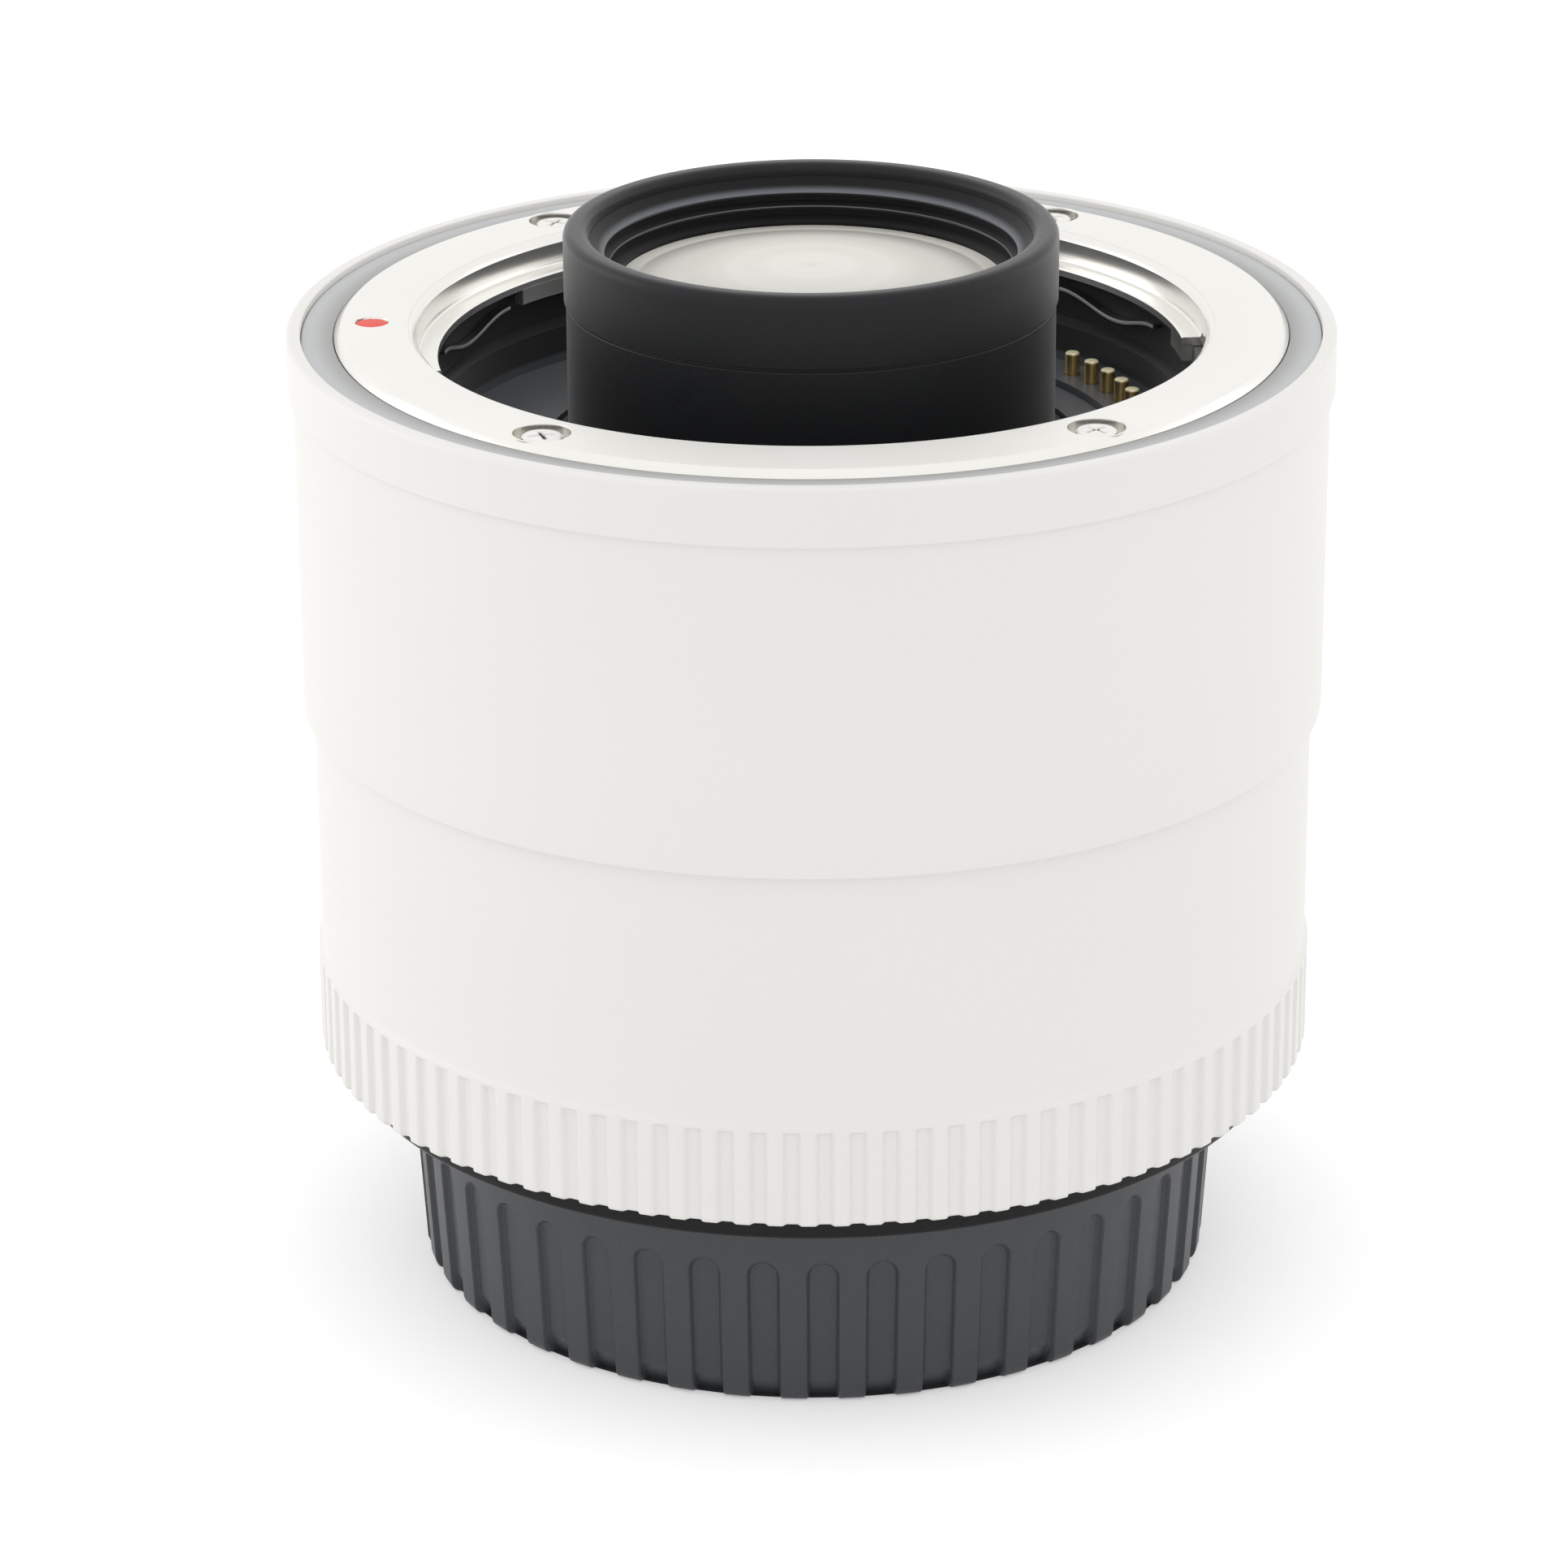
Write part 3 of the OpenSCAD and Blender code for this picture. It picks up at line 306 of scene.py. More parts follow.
def radius(at):
    """Distance from the optical axis, in metres: the square root of x squared plus y squared."""
    x, y = axis(at, 0), axis(at, 1)
    return (x * x + y * y) ** 0.5


def turning_marks(at, scale):
    """Random rings about the axis, scale of them to a metre."""
    return at.node("ShaderNodeTexNoise", {"noise_dimensions": "1D"},
                   {"W": radius(at), "Scale": scale, "Detail": 3.0})


def step(coordinate, low, high):
    """A smooth step of a coordinate in metres, between two sizes in mm."""
    return coordinate.between(low * MM, high * MM)


at = new_material("mount_steel")
rings, smudge = turning_marks(at, 9000.0), at.noise(120.0, 3.0)
faced = step(axis(at, 2), FRONT_Z - 0.06, FRONT_Z - 0.02)
surface(at, {"Base Color": smudge.blend((0.88, 0.865, 0.82), (0.93, 0.92, 0.885)),
             "Metallic": 0.9 - 0.52 * faced,
             "Roughness": rings * 0.1 + smudge * 0.06 + faced * 0.2 + 0.15}, rings, 0.000004)

at = new_material("grey_trim")
# Painted shade: the grey is darker next to the steel ring, which stands above it, and paler outwards.
grain, clear_of_painted_shade = at.noise(5200.0, 2.0), step(radius(at), RING_R + 0.07, TRIM_R - 0.25)
painted_shade_grey = grain.blend((0.36, 0.362, 0.355), (0.42, 0.422, 0.415))
outer = grain.blend((0.53, 0.54, 0.545), (0.6, 0.61, 0.615))
surface(at, {"Base Color": clear_of_painted_shade.blend(painted_shade_grey, outer), "Roughness": grain * 0.2 + 0.45,
             "Specular IOR Level": 0.35}, grain, 0.00001)

at = new_material("screw_steel")
smudge = at.noise(1500.0, 3.0)
height, head = axis(at, 2), FRONT_Z - HEAD_DROP
# Painted shade: the cross recess in each head is coloured dark.
cross = step(height, head - 0.4, head - 0.38) * (1 - step(height, head - 0.14, head - 0.06))
bright = smudge.blend((0.84, 0.83, 0.8), (0.93, 0.92, 0.89))
surface(at, {"Base Color": cross.blend(bright, (0.16, 0.15, 0.13)), "Metallic": 0.55,
             "Roughness": smudge * 0.15 + 0.3}, smudge, 0.000004)

at = new_material("spring_steel")
# Painted highlight: a bright line along the inner edge of each leaf spring; the rest is dark.
smudge, past_edge_highlight = at.noise(700.0, 3.0), step(radius(at), LEAF_IN + 0.03, LEAF_IN + 0.11)
dark = smudge.blend((0.08, 0.08, 0.085), (0.14, 0.14, 0.145))
surface(at, {"Base Color": past_edge_highlight.blend((0.86, 0.86, 0.85), dark), "Metallic": 0.9,
             "Roughness": smudge * 0.15 + 0.3}, smudge, 0.000004)

at = new_material("gold_plate")
smudge = at.noise(2200.0, 2.0)
# Painted highlight: the pin tips are a pale, less metallic gold that stands in for the light they catch.
painted_tip_highlight = step(axis(at, 2), PIN_TOP - 0.18, PIN_TOP - 0.08)
plate = smudge.blend((0.85, 0.62, 0.24), (0.95, 0.74, 0.34))
surface(at, {"Base Color": painted_tip_highlight.blend(plate, (1.0, 0.92, 0.6)), "Metallic": 0.95 - 0.65 * painted_tip_highlight,
             "Roughness": smudge * 0.12 + 0.28}, smudge, 0.000002)

at = new_material("cast_aluminium")
rings, cloud = turning_marks(at, 3000.0), at.noise(300.0, 3.0)
surface(at, {"Base Color": cloud.blend((0.5, 0.505, 0.51), (0.66, 0.665, 0.67)), "Metallic": 1.0,
             "Roughness": cloud * 0.25 + 0.35}, rings, 0.00001)

at = new_material("shim_brass")
smudge = at.noise(500.0, 3.0)
surface(at, {"Base Color": smudge.blend((0.62, 0.45, 0.16), (0.8, 0.62, 0.3)), "Metallic": 1.0,
             "Roughness": smudge * 0.2 + 0.25}, smudge, 0.00001)
print("metals done:", len(finish), "finishes so far")

# %% [markdown]
# Five different blacks meet in this object, and small steps of tone and gloss tell them apart.
# The lining is moulded plastic, with a painted sheen that makes its flat floor greyer. The seal is
# smooth rubber, and the cap is plastic from a spark-eroded mould, which leaves a fine sandy skin.
# The lens tube has a flat coat that is dark from the front and pale along its edges, which is what
# the Principled shader's sheen does. Inside the collar the coat is deader still, to swallow stray
# light. A smooth step of the radius sets where that begins. Steps of radius and height find the
# retaining ring's two thin edges, and a pale line painted on each is a painted highlight.

# %% Blacks
def tinted(tone):
    """A grey of that tone with a little blue in it."""
    return 0.94 * tone, tone, 1.12 * tone


def black(slot, dark, light, scale, rough, spread, depth, gloss):
    """A black whose tone, roughness and bump all follow one noise."""
    at = new_material(slot)
    sand = at.noise(scale, 3.0)
    surface(at, {"Base Color": sand.blend(tinted(dark), tinted(light)),
                 "Roughness": sand * spread + rough, "Specular IOR Level": gloss}, sand, depth)


black("black_rubber", 0.004, 0.007, 900.0, 0.22, 0.12, 0.000004, 0.2)
black("cap_plastic", 0.042, 0.06, 4200.0, 0.32, 0.2, 0.00002, 0.42)
black("chip_black", 0.014, 0.024, 6000.0, 0.5, 0.2, 0.00001, 0.4)

at = new_material("black_plastic")
sand = at.noise(1500.0, 3.0)
# Painted sheen: the flat floor of the throat is coloured a lighter grey.
high = step(axis(at, 2), FLOOR_Z + 0.5, FLOOR_Z + 0.8)
far = step(radius(at), THROAT_R + 0.2, THROAT_R + 1.0)
painted_sheen_floor = (1 - high) * (1 - far)
surface(at, {"Base Color": painted_sheen_floor.blend(sand.blend(tinted(0.015), tinted(0.021)), tinted(0.1)),
             "Roughness": sand * 0.08 + 0.34, "Specular IOR Level": 0.5,
             "Sheen Weight": 0.3, "Sheen Roughness": 0.35}, sand, 0.000003)

at = new_material("black_anodised")
sand, out = at.noise(5000.0, 3.0), radius(at)
outside = step(out, COLLAR_IN - 0.1, COLLAR_IN + 0.05)
coat = sand.blend(tinted(0.01), tinted(0.016))
height = axis(at, 2)
# Painted highlights: pale lines on the retaining ring's two thin edges.
ledge_highlight = (1 - step(out, LEDGE_R + 0.05, LEDGE_R + 0.55)) * step(height, LEDGE_Z - 0.06, LEDGE_Z - 0.02)
edge_highlight_band = step(height, EDGE_Z - 0.06, EDGE_Z - 0.03) * (1 - step(height, EDGE_Z + 0.3, EDGE_Z + 0.4))
edge = (1 - step(out, EDGE_R + 0.02, EDGE_R + 0.14)) * edge_highlight_band
inside = (ledge_highlight + edge).blend(tinted(0.003), tinted(0.16))
surface(at, {"Base Color": outside.blend(inside, coat), "Roughness": sand * 0.18 + 0.5 - outside * 0.2,
             "Specular IOR Level": 0.25, "Sheen Weight": 0.3, "Sheen Roughness": 0.35}, sand, 0.000006)

# %% Paint, laminate and film
at = new_material("red_paint")
grain = at.noise(1800.0, 2.0)
surface(at, {"Base Color": grain.blend((0.8, 0.085, 0.065), (0.9, 0.12, 0.095)),
             "Roughness": grain * 0.15 + 0.35, "Specular IOR Level": 0.2}, grain, 0.00001)

at = new_material("circuit_green")
weave = at.node("ShaderNodeTexBrick", {}, {"Vector": at, "Scale": 420.0, "Mortar Size": 0.06}, out="Fac")
surface(at, {"Base Color": weave.blend((0.012, 0.12, 0.05), (0.03, 0.24, 0.1)),
             "Roughness": weave * 0.1 + 0.35, "Coat Weight": 0.4}, weave, 0.00002)

at = new_material("flex_film")
cloud = at.noise(250.0, 2.0)
surface(at, {"Base Color": cloud.blend((0.42, 0.2, 0.03), (0.6, 0.34, 0.07)),
             "Roughness": cloud * 0.15 + 0.25, "Coat Weight": 0.5}, cloud, 0.00001)
print("finishes:", len(finish))

# %% [markdown]
# Seen at a low angle, a stack of glass faces sends back most of the bright room and looks pale. Seen
# from straight above, it is clear and dark. A mix of a clear glass and a pale, half-metallic surface,
# driven by the Layer Weight node, gives both. That surface is a painted reflection: its pale colour
# stands for the room sent back by hollow faces further in, so its bump is a bowl: a height that grows
# with the square of the radius. Faint rings in its tone are painted reflections of the edges of those.

# %% Coated glass
at = new_material("glass")
ripple = turning_marks(at, 140.0)
clear = at.node("ShaderNodeBsdfPrincipled", {}, {
    "Base Color": ripple.blend((0.86, 0.9, 0.88), (0.93, 0.95, 0.94)), "Roughness": 0.0,
    "Transmission Weight": 1.0, "IOR": 1.5})
share = radius(at) * (1 / (GLASS_R * MM))
bowl = at.node("ShaderNodeBump", {}, {"Height": share * share, "Distance": 0.0024})
# Painted reflection: this pale colour and its faint rings stand in for the room sent back by faces further
# in.
painted_reflection = at.node("ShaderNodeBsdfPrincipled", {}, {
    "Base Color": ripple.between(0.3, 0.7).blend((0.66, 0.638, 0.575), (0.86, 0.838, 0.775)),
    "Metallic": 0.5, "Roughness": 0.22, "Normal": bowl})
grazing = at.node("ShaderNodeLayerWeight", {}, {"Blend": 0.62}, out="Facing").between(0.05, 0.7) * 0.94
both = at.node("ShaderNodeMixShader", {}, {0: grazing, 1: clear, 2: painted_reflection})
at.tree.links.new(both.socket, at.tree.nodes.new("ShaderNodeOutputMaterial").inputs["Surface"])

for part in frame["record"]["subparts"]:
    node = frame["nodes"][part["node"]]
    node.data.materials.clear()
    node.data.materials.append(finish[part["material_slot"]])
print("every CAD node has a finish")

# %% [markdown]
# The three white pieces and the grey ring are turnings. The CAD solids are cut into flat facets
# when they are packed, and a long smooth cylinder shows them, so each gets a finer skin in its place.
# The upper barrel has a window at the back for the release. Its faces are left out of the grid there,
# and a short wall joins the outer and the inner edge of the hole.

# %% Front band, grey trim and upper barrel
band = eased([(SHELL_R, BAND_Z, 0.05), (RIM_R, BAND_Z, 0.18), (RIM_R, BAND_TOP, 0.35),
              (TRIM_R + FIT, BAND_TOP, 0.12), (TRIM_R + FIT, RING_Z, 0.05), (SHELL_R, RING_Z, 0.05)])
ring_piece("front_band_skin", band, 360, "white_paint", "front_band")

trim = eased([(RING_R + FIT, RING_Z, 0.05), (TRIM_R, RING_Z, 0.05), (TRIM_R, FRONT_Z - TRIM_DROP, 0.12),
              (RING_R + FIT, FRONT_Z - TRIM_DROP, 0.1)])
ring_piece("trim_ring_skin", trim, 360, "grey_trim", "trim_ring")


def windowed_tube(r_in, r_out, heights, angles, window):
    """A tube with a hole through its wall.

    Row i of the grid goes round the outside at height i, and the rows of the inside follow in the
    opposite order. window is (first row, last row, first column, last column) of the hole.
    """
    rows, columns = len(heights), len(angles)
    outline = np.concatenate([np.stack([r_out, heights], axis=1),
                              np.stack([np.full(rows, r_in), heights], axis=1)[::-1]])
    points = turned(outline, angles).reshape(-1, 3)
    faces = quads(2 * rows, columns)
    row, column = faces[:, 0] // columns, faces[:, 0] % columns
    row = np.where(row < rows, row, 2 * rows - 2 - row)
    low, high, left, right = window
    hole = (row >= low) & (row < high) & (column >= left) & (column < right)
    across, up = np.arange(left, right + 1), np.arange(low, high + 1)
    edge = np.concatenate([np.stack([np.full(across.size, low), across], axis=1)[:-1],
                           np.stack([up, np.full(up.size, right)], axis=1)[:-1],
                           np.stack([np.full(across.size, high), across[::-1]], axis=1)[:-1],
                           np.stack([up[::-1], np.full(up.size, left)], axis=1)[:-1]])
    outside = edge[:, 0] * columns + edge[:, 1]
    inside = (2 * rows - 1 - edge[:, 0]) * columns + edge[:, 1]
    walls = np.stack([outside, np.roll(outside, -1), np.roll(inside, -1), inside], axis=1)
    return points, np.concatenate([faces[~hole], walls[:, ::-1]]).tolist()


SLOT_W, SLOT_Z, SLOT_TOP = 6.6, 56.2, 61.3
ROWS_BELOW, ROWS_IN, COLUMNS_IN = 7, 3, 12
half = math.asin(SLOT_W / 2 / MAIN_R)
angles = np.concatenate([np.linspace(math.pi / 2 - half, math.pi / 2 + half, COLUMNS_IN + 1),
                         np.linspace(math.pi / 2 + half, math.pi / 2 - half + TURN, 350)[1:-1]])
ROUND = 0.05
foot = np.array([0.0, 0.003, 0.01, 0.02, 0.035, 0.055])
heights = np.concatenate([SEAM_Z + foot, np.linspace(SEAM_Z + 1, SLOT_Z, ROWS_BELOW + 1),
                          np.linspace(SLOT_Z, SLOT_TOP, ROWS_IN + 1)[1:],
                          np.linspace(SLOT_TOP, BAND_Z, 4)[1:]])
outer = np.full(len(heights), MAIN_R)
outer[:len(foot)] -= ROUND * (1 - np.sqrt(1 - (1 - np.minimum(foot / ROUND, 1)) ** 2))
low = len(foot) + ROWS_BELOW
window = (low, low + ROWS_IN, 0, COLUMNS_IN)
piece("main_barrel_skin", [windowed_tube(SHELL_R, outer, heights, angles, window)], "converter",
      "white_paint", ["main_barrel"])

# %% [markdown]
# The foot of the barrel has a grip of a hundred upright grooves. They are milled into a raised belt,
# so each has a flat bottom, soft sides and a blind upper end. Here the radius is a function of both
# angle and height: the belt's radius, less the groove's depth times one smooth step across the groove
# and another up it. Columns crowd together at the groove's sides, where the surface turns fastest.

# %% Lower barrel with the grip
def smooth(x, low, high):
    """0 below low, 1 above high, and 3t^2 - 2t^3 between them."""
    t = np.clip((x - low) / (high - low), 0, 1)
    return t * t * (3 - 2 * t)


GRIP_R, GRIP_TOP = 35.1, 23.77
NECK_R, LIP_Z = 32.15, 17.27
GROOVES, GROOVE_W, GROOVE_DEPTH, GROOVE_END = 100, 1.1, 0.35, 23.62
pitch = TURN * GRIP_R / GROOVES
side = GROOVE_W / 2
half_row = np.array([0.18, side - 0.2, side - 0.1, side - 0.02, side + 0.06, side + 0.13, 0.85])
across = np.concatenate([[-pitch / 2], -half_row[::-1], half_row])
angles = (np.arange(GROOVES)[:, None] * pitch + across).ravel() / GRIP_R
rise = np.concatenate([np.linspace(BARREL_Z + 0.5, GROOVE_END - 1.0, 5),
                       np.linspace(GROOVE_END - 0.5, GROOVE_END + 0.05, 9), [GRIP_TOP - 0.04, GRIP_TOP]])
outline = np.concatenate([
    [(NECK_R, LIP_Z), (NECK_R, BARREL_Z), (GRIP_R - 0.6, BARREL_Z), (GRIP_R - 0.3, BARREL_Z),
     (GRIP_R - 0.2, BARREL_Z + 0.03), (GRIP_R - 0.09, BARREL_Z + 0.1), (GRIP_R - 0.02, BARREL_Z + 0.2),
     (GRIP_R, BARREL_Z + 0.32)],
    np.stack([np.full(rise.size, GRIP_R), rise], axis=1),
    [(GRIP_R - 0.06, GRIP_TOP + 0.05), (REAR_R + 0.05, GRIP_TOP + 0.2), (REAR_R, GRIP_TOP + 0.3),
     (REAR_R, GRIP_TOP + 0.8), (REAR_R, SEAM_Z - 0.4), (REAR_R, SEAM_Z), (SHELL_R, SEAM_Z),
     (SHELL_R, LIP_Z)]])
across_all = np.tile(across, GROOVES)
cut = (1 - smooth(np.abs(across_all), side - 0.22, side + 0.13))[None, :]
height = outline[:, 1:]
cut = cut * (1 - smooth(height, GROOVE_END - 0.3, GROOVE_END)) * (outline[:, :1] > GRIP_R - 0.35)
points = turned(outline, angles)
points[..., :2] *= (1 - GROOVE_DEPTH * cut / outline[:, :1])[..., None]
piece("rear_barrel_skin", [ring_skin(points)], "converter", "white_paint", ["rear_barrel"])

# %% [markdown]
# The bayonet ring is the heart of the object: a flat steel face, three lugs under it, and four screws
# in straight recesses. A boolean cut would leave long thin faces that shade badly. Instead the top
# face is a close grid whose height is the flat face less a depth, and the depth is a function of the
# distance to each screw. A small turned cup lines each recess and gives it a round, polished mouth.

# %% Bayonet ring
SCREW_AT, SCREW_DEG = 30.15, 53.5
screw_turns = np.radians([SCREW_DEG, 180 - SCREW_DEG, 180 + SCREW_DEG, 360 - SCREW_DEG])
RECESS_R, HEAD_H, HEAD_R = 1.9, 0.8, 1.35
HEAD_Z = FRONT_Z - HEAD_DROP - HEAD_H
DOT_AT, DOT_R, LOCK_AT, LOCK_R = 30.05, 1.1, 29.8, 1.0


def polar(r, a):
    """The point at radius r and angle a, as x and y."""
    return r * np.cos(a), r * np.sin(a)


def sunk(x, y):
    """How far the face lies below the flange at the screws, the dot and the lock pin."""
    pits = [(*polar(SCREW_AT, a), RECESS_R + 0.05, 1.3) for a in screw_turns]
    pits += [(*polar(DOT_AT, math.pi), DOT_R, 0.3), (*polar(LOCK_AT, math.pi / 2), LOCK_R + FIT, 2.2)]
    depth = np.zeros_like(x)
    for px, py, r, deep in pits:
        depth = np.maximum(depth, deep * (1 - smooth(np.hypot(x - px, y - py), r - 0.02, r + 0.05)))
    return depth


spots = [(a, RECESS_R + 0.12, 64) for a in screw_turns]
spots += [(math.pi, DOT_R + 0.15, 42), (math.pi / 2, LOCK_R + 0.2, 42)]
close = [a + np.linspace(-w, w, n) / SCREW_AT for a, w, n in spots]
angles = np.unique(np.round(np.concatenate([around(240), *close]) % TURN, 5))
top = np.linspace(RING_R - 0.52, THROAT_R + 0.58, 84)
outline = np.concatenate([
    [(THROAT_R, RING_Z), (RING_R, RING_Z), (RING_R, FRONT_Z - 0.56), (RING_R, FRONT_Z - 0.51),
     (RING_R - 0.02, FRONT_Z - 0.47), (RING_R - 0.47, FRONT_Z - 0.02), (RING_R - 0.5, FRONT_Z)],
    np.stack([top, np.full(top.size, FRONT_Z)], axis=1),
    [(THROAT_R + 0.53, FRONT_Z - 0.01), (THROAT_R + 0.02, FRONT_Z - 0.52), (THROAT_R, FRONT_Z - 0.57),
     (THROAT_R, FRONT_Z - 0.62)]])
points = turned(outline, angles)
face = (outline[:, 1] > FRONT_Z - 0.005)[:, None]
points[..., 2] -= np.where(face, sunk(points[..., 0], points[..., 1]), 0)

cup = eased([(HEAD_R, FRONT_Z - 1.2, 0.02), (RECESS_R + 0.2, FRONT_Z - 1.2, 0.02),
             (RECESS_R + 0.2, FRONT_Z + 0.004, 0.02), (RECESS_R, FRONT_Z + 0.004, 0.12),
             (RECESS_R, HEAD_Z, 0.05), (HEAD_R, HEAD_Z, 0.02)])


def moved(points, x, y, z=0.0):
    """The same points, shifted."""
    return points + np.array([x, y, z])


def bar(section, start, stop, steps):
    """A section carried round the axis from one angle in degrees to another."""
    return bar_skin(turned(section, np.radians(np.linspace(start, stop, steps))))


LUG_R, LUG_Z, LUG_TOP, LUG_DEG, STOP_Z = 25.55, 66.0, 66.6, 67, 64.9
LUG_CENTRES, STOP_DEGS, STOP_R = (36.5, 156.5, 276.5), (8, 19, 8), 26.35
lug = eased([(LUG_R, LUG_Z, 0.1), (THROAT_R + 0.15, LUG_Z, 0.02), (THROAT_R + 0.15, LUG_TOP + 0.3, 0.02),
             (THROAT_R - 0.01, LUG_TOP + 0.3, 0.02), (THROAT_R - 0.12, LUG_TOP, 0.12),
             (LUG_R, LUG_TOP, 0.16)])
stop = eased([(LUG_R, STOP_Z, 0.12), (STOP_R, STOP_Z, 0.06), (STOP_R, LUG_Z + 0.1, 0.02),
              (LUG_R, LUG_Z + 0.1, 0.02)])
cups = [ring_skin(moved(turned(cup, around(96)), *polar(SCREW_AT, a))) for a in screw_turns]
lugs = [bar(lug, a - LUG_DEG / 2, a + LUG_DEG / 2, 61) for a in LUG_CENTRES]
stops = [bar(stop, a - LUG_DEG / 2, a - LUG_DEG / 2 + d, 13) for a, d in zip(LUG_CENTRES, STOP_DEGS)]
piece("lens_mount_ring_skin", [ring_skin(points), *cups, *lugs, *stops], "converter", "mount_steel",
      ["lens_mount_ring"])

# %% [markdown]
# A cross-recessed head is a small disc with two crossing grooves. The disc is a grid of radius and
# angle. Each groove takes its depth from the distance to its own centre line, so the walls stay
# straight while the grid stays round.

# %% Mount screws, index dot and lock pin
DOME, CROSS_DEPTH, SHANK_R, SCREW_FOOT = 0.06, 0.32, 0.7, FRONT_Z - 4.8


def screw_head(turn):
    """A slightly domed disc whose height drops by the deeper of two crossing grooves."""
    rho = np.concatenate([np.linspace(0, HEAD_R - 0.1, 26), HEAD_R - np.array([0.05, 0.02, 0.0])])
    z = FRONT_Z - HEAD_DROP + DOME * (1 - (rho / HEAD_R) ** 2) - 0.08 * smooth(rho, HEAD_R - 0.12, HEAD_R)
    points = turned(np.stack([rho, z], axis=1), around(96))
    u, v = points[..., 0], points[..., 1]
    groove = [(1 - smooth(np.abs(p), 0.08, 0.17)) * (1 - smooth(np.abs(q), 0.74, 0.94))
              for p, q in ((u, v), (v, u))]
    points[..., 2] -= CROSS_DEPTH * np.maximum(*groove)
    shank = np.array([(HEAD_R, HEAD_Z), (SHANK_R, HEAD_Z), (SHANK_R, SCREW_FOOT), (0, SCREW_FOOT)])
    points = np.concatenate([points, turned(shank, around(96))])
    c, s = math.cos(turn), math.sin(turn)
    points[..., :2] = points[..., :2] @ np.array([[c, s], [-s, c]])
    return points


turns = np.radians([20, 62, 108, 41])
heads = [plug_skin(moved(screw_head(t), *polar(SCREW_AT, a))) for t, a in zip(turns, screw_turns)]
piece("mount_screws_skin", heads, "converter", "screw_steel", ["lens_mount_screws"])

fill = np.array([(0, FRONT_Z - 0.03), (0.6, FRONT_Z - 0.035), (0.9, FRONT_Z - 0.06),
                 (DOT_R - FIT, FRONT_Z - 0.1), (DOT_R - FIT, FRONT_Z - 0.3), (0, FRONT_Z - 0.3)])
piece("index_dot_skin", [plug_skin(moved(turned(fill, around(64)), *polar(DOT_AT, math.pi)))],
      "converter", "red_paint", ["index_dot"])

LOCK_TOP, LOCK_FOOT, LOCK_COLLAR_R, LOCK_COLLAR_TOP = 70.2, 55.6, 1.6, 61.8
lock = np.array([(0, LOCK_TOP), (0.45, LOCK_TOP - 0.01), (0.75, LOCK_TOP - 0.1), (0.92, LOCK_TOP - 0.28),
                 (LOCK_R, LOCK_TOP - 0.55), (LOCK_R, LOCK_COLLAR_TOP), (LOCK_COLLAR_R, LOCK_COLLAR_TOP),
                 (LOCK_COLLAR_R, ARM_TOP), (LOCK_R, ARM_TOP), (LOCK_R, LOCK_FOOT), (0, LOCK_FOOT)])
lock_place = polar(LOCK_AT, math.pi / 2)
piece("lock_pin_skin", [plug_skin(moved(turned(lock, around(48)), *lock_place))], "lens_release",
      "mount_steel", ["lock_pin"])

# %% [markdown]
# Under each lug lies a bowed strip of spring steel that presses the lens against the flange. It is a
# flat section carried along an arc, and its height dips by one cosine wave from end to end.

# %% Leaf springs
LEAF_DEG, LEAF_BOW, LEAF_DROP, LEAF_SHIFTS = 25, 1.0, 0.85, (-4, 1, 0)
LEAF_OUT, LEAF_T = 26.35, 0.25
leaf = eased([(LEAF_IN, -LEAF_T, 0.06), (LEAF_OUT, -LEAF_T, 0.06), (LEAF_OUT, 0.0, 0.06),
              (LEAF_IN, 0.0, 0.06)], steps=2)
share = np.linspace(0, 1, 49)
dip = LUG_Z - LEAF_DROP - LEAF_BOW * (1 - np.cos(TURN * share)) / 2
strips = []
for a, shift in zip(LUG_CENTRES, LEAF_SHIFTS):
    strip = turned(leaf, np.radians(a + shift + (share - 0.5) * LEAF_DEG))
    strip[..., 2] += dip
    strips.append(bar_skin(strip))
piece("mount_springs_skin", strips, "converter", "spring_steel", ["mount_springs"])

# %% [markdown]
# The release is a ribbed plastic pad at the back. Its section, ribs and all, is carried round the
# barrel for about twenty degrees. The section shrinks a little at both ends, which rounds them. An arm
# joins the pad to an eye round the lock pin.

# %% Release lever
PAD_IN, PAD_OUT, PAD_Z, PAD_TOP, PAD_W = 35.85, 37.75, 56.0, 64.0, 13.0
ribs = [(r, PAD_Z + 1.6 * i + d, 0.1) for i in range(1, 5)
        for r, d in ((PAD_OUT, -0.35), (PAD_OUT - 0.4, -0.35), (PAD_OUT - 0.4, 0.35), (PAD_OUT, 0.35))]
section = eased([(PAD_IN, PAD_Z, 0.1), (PAD_OUT, PAD_Z, 0.35), *ribs, (PAD_OUT, PAD_TOP, 0.35),
                 (PAD_IN, PAD_TOP, 0.1)])
half = math.asin(PAD_W / 2 / (PAD_IN + 0.95))
end = np.array([0.9, 0.95, 0.98, 0.995, 1])
share = np.concatenate([-end[::-1], np.linspace(-0.85, 0.85, 25), end])
shrink = np.sqrt(np.clip((np.abs(share) - 0.9) / 0.1, 0, 1)) ** 4
r = PAD_IN + (section[:, :1] - PAD_IN) * (1 - 0.3 * shrink)
middle = (PAD_Z + PAD_TOP) / 2
z = middle + (section[:, 1:] - middle) * (1 - 0.07 * shrink)
a = math.pi / 2 + share * half
pad = np.stack([r * np.cos(a), r * np.sin(a), z], axis=-1)
ARM_SIDE, EYE_R = 3.0, 1.9
arm = eased([(-ARM_SIDE, ARM_Z, 0.15), (ARM_SIDE, ARM_Z, 0.15), (ARM_SIDE, ARM_TOP, 0.15),
             (-ARM_SIDE, ARM_TOP, 0.15)])
path = np.array([LOCK_AT, 33.0, PAD_IN + 0.6])
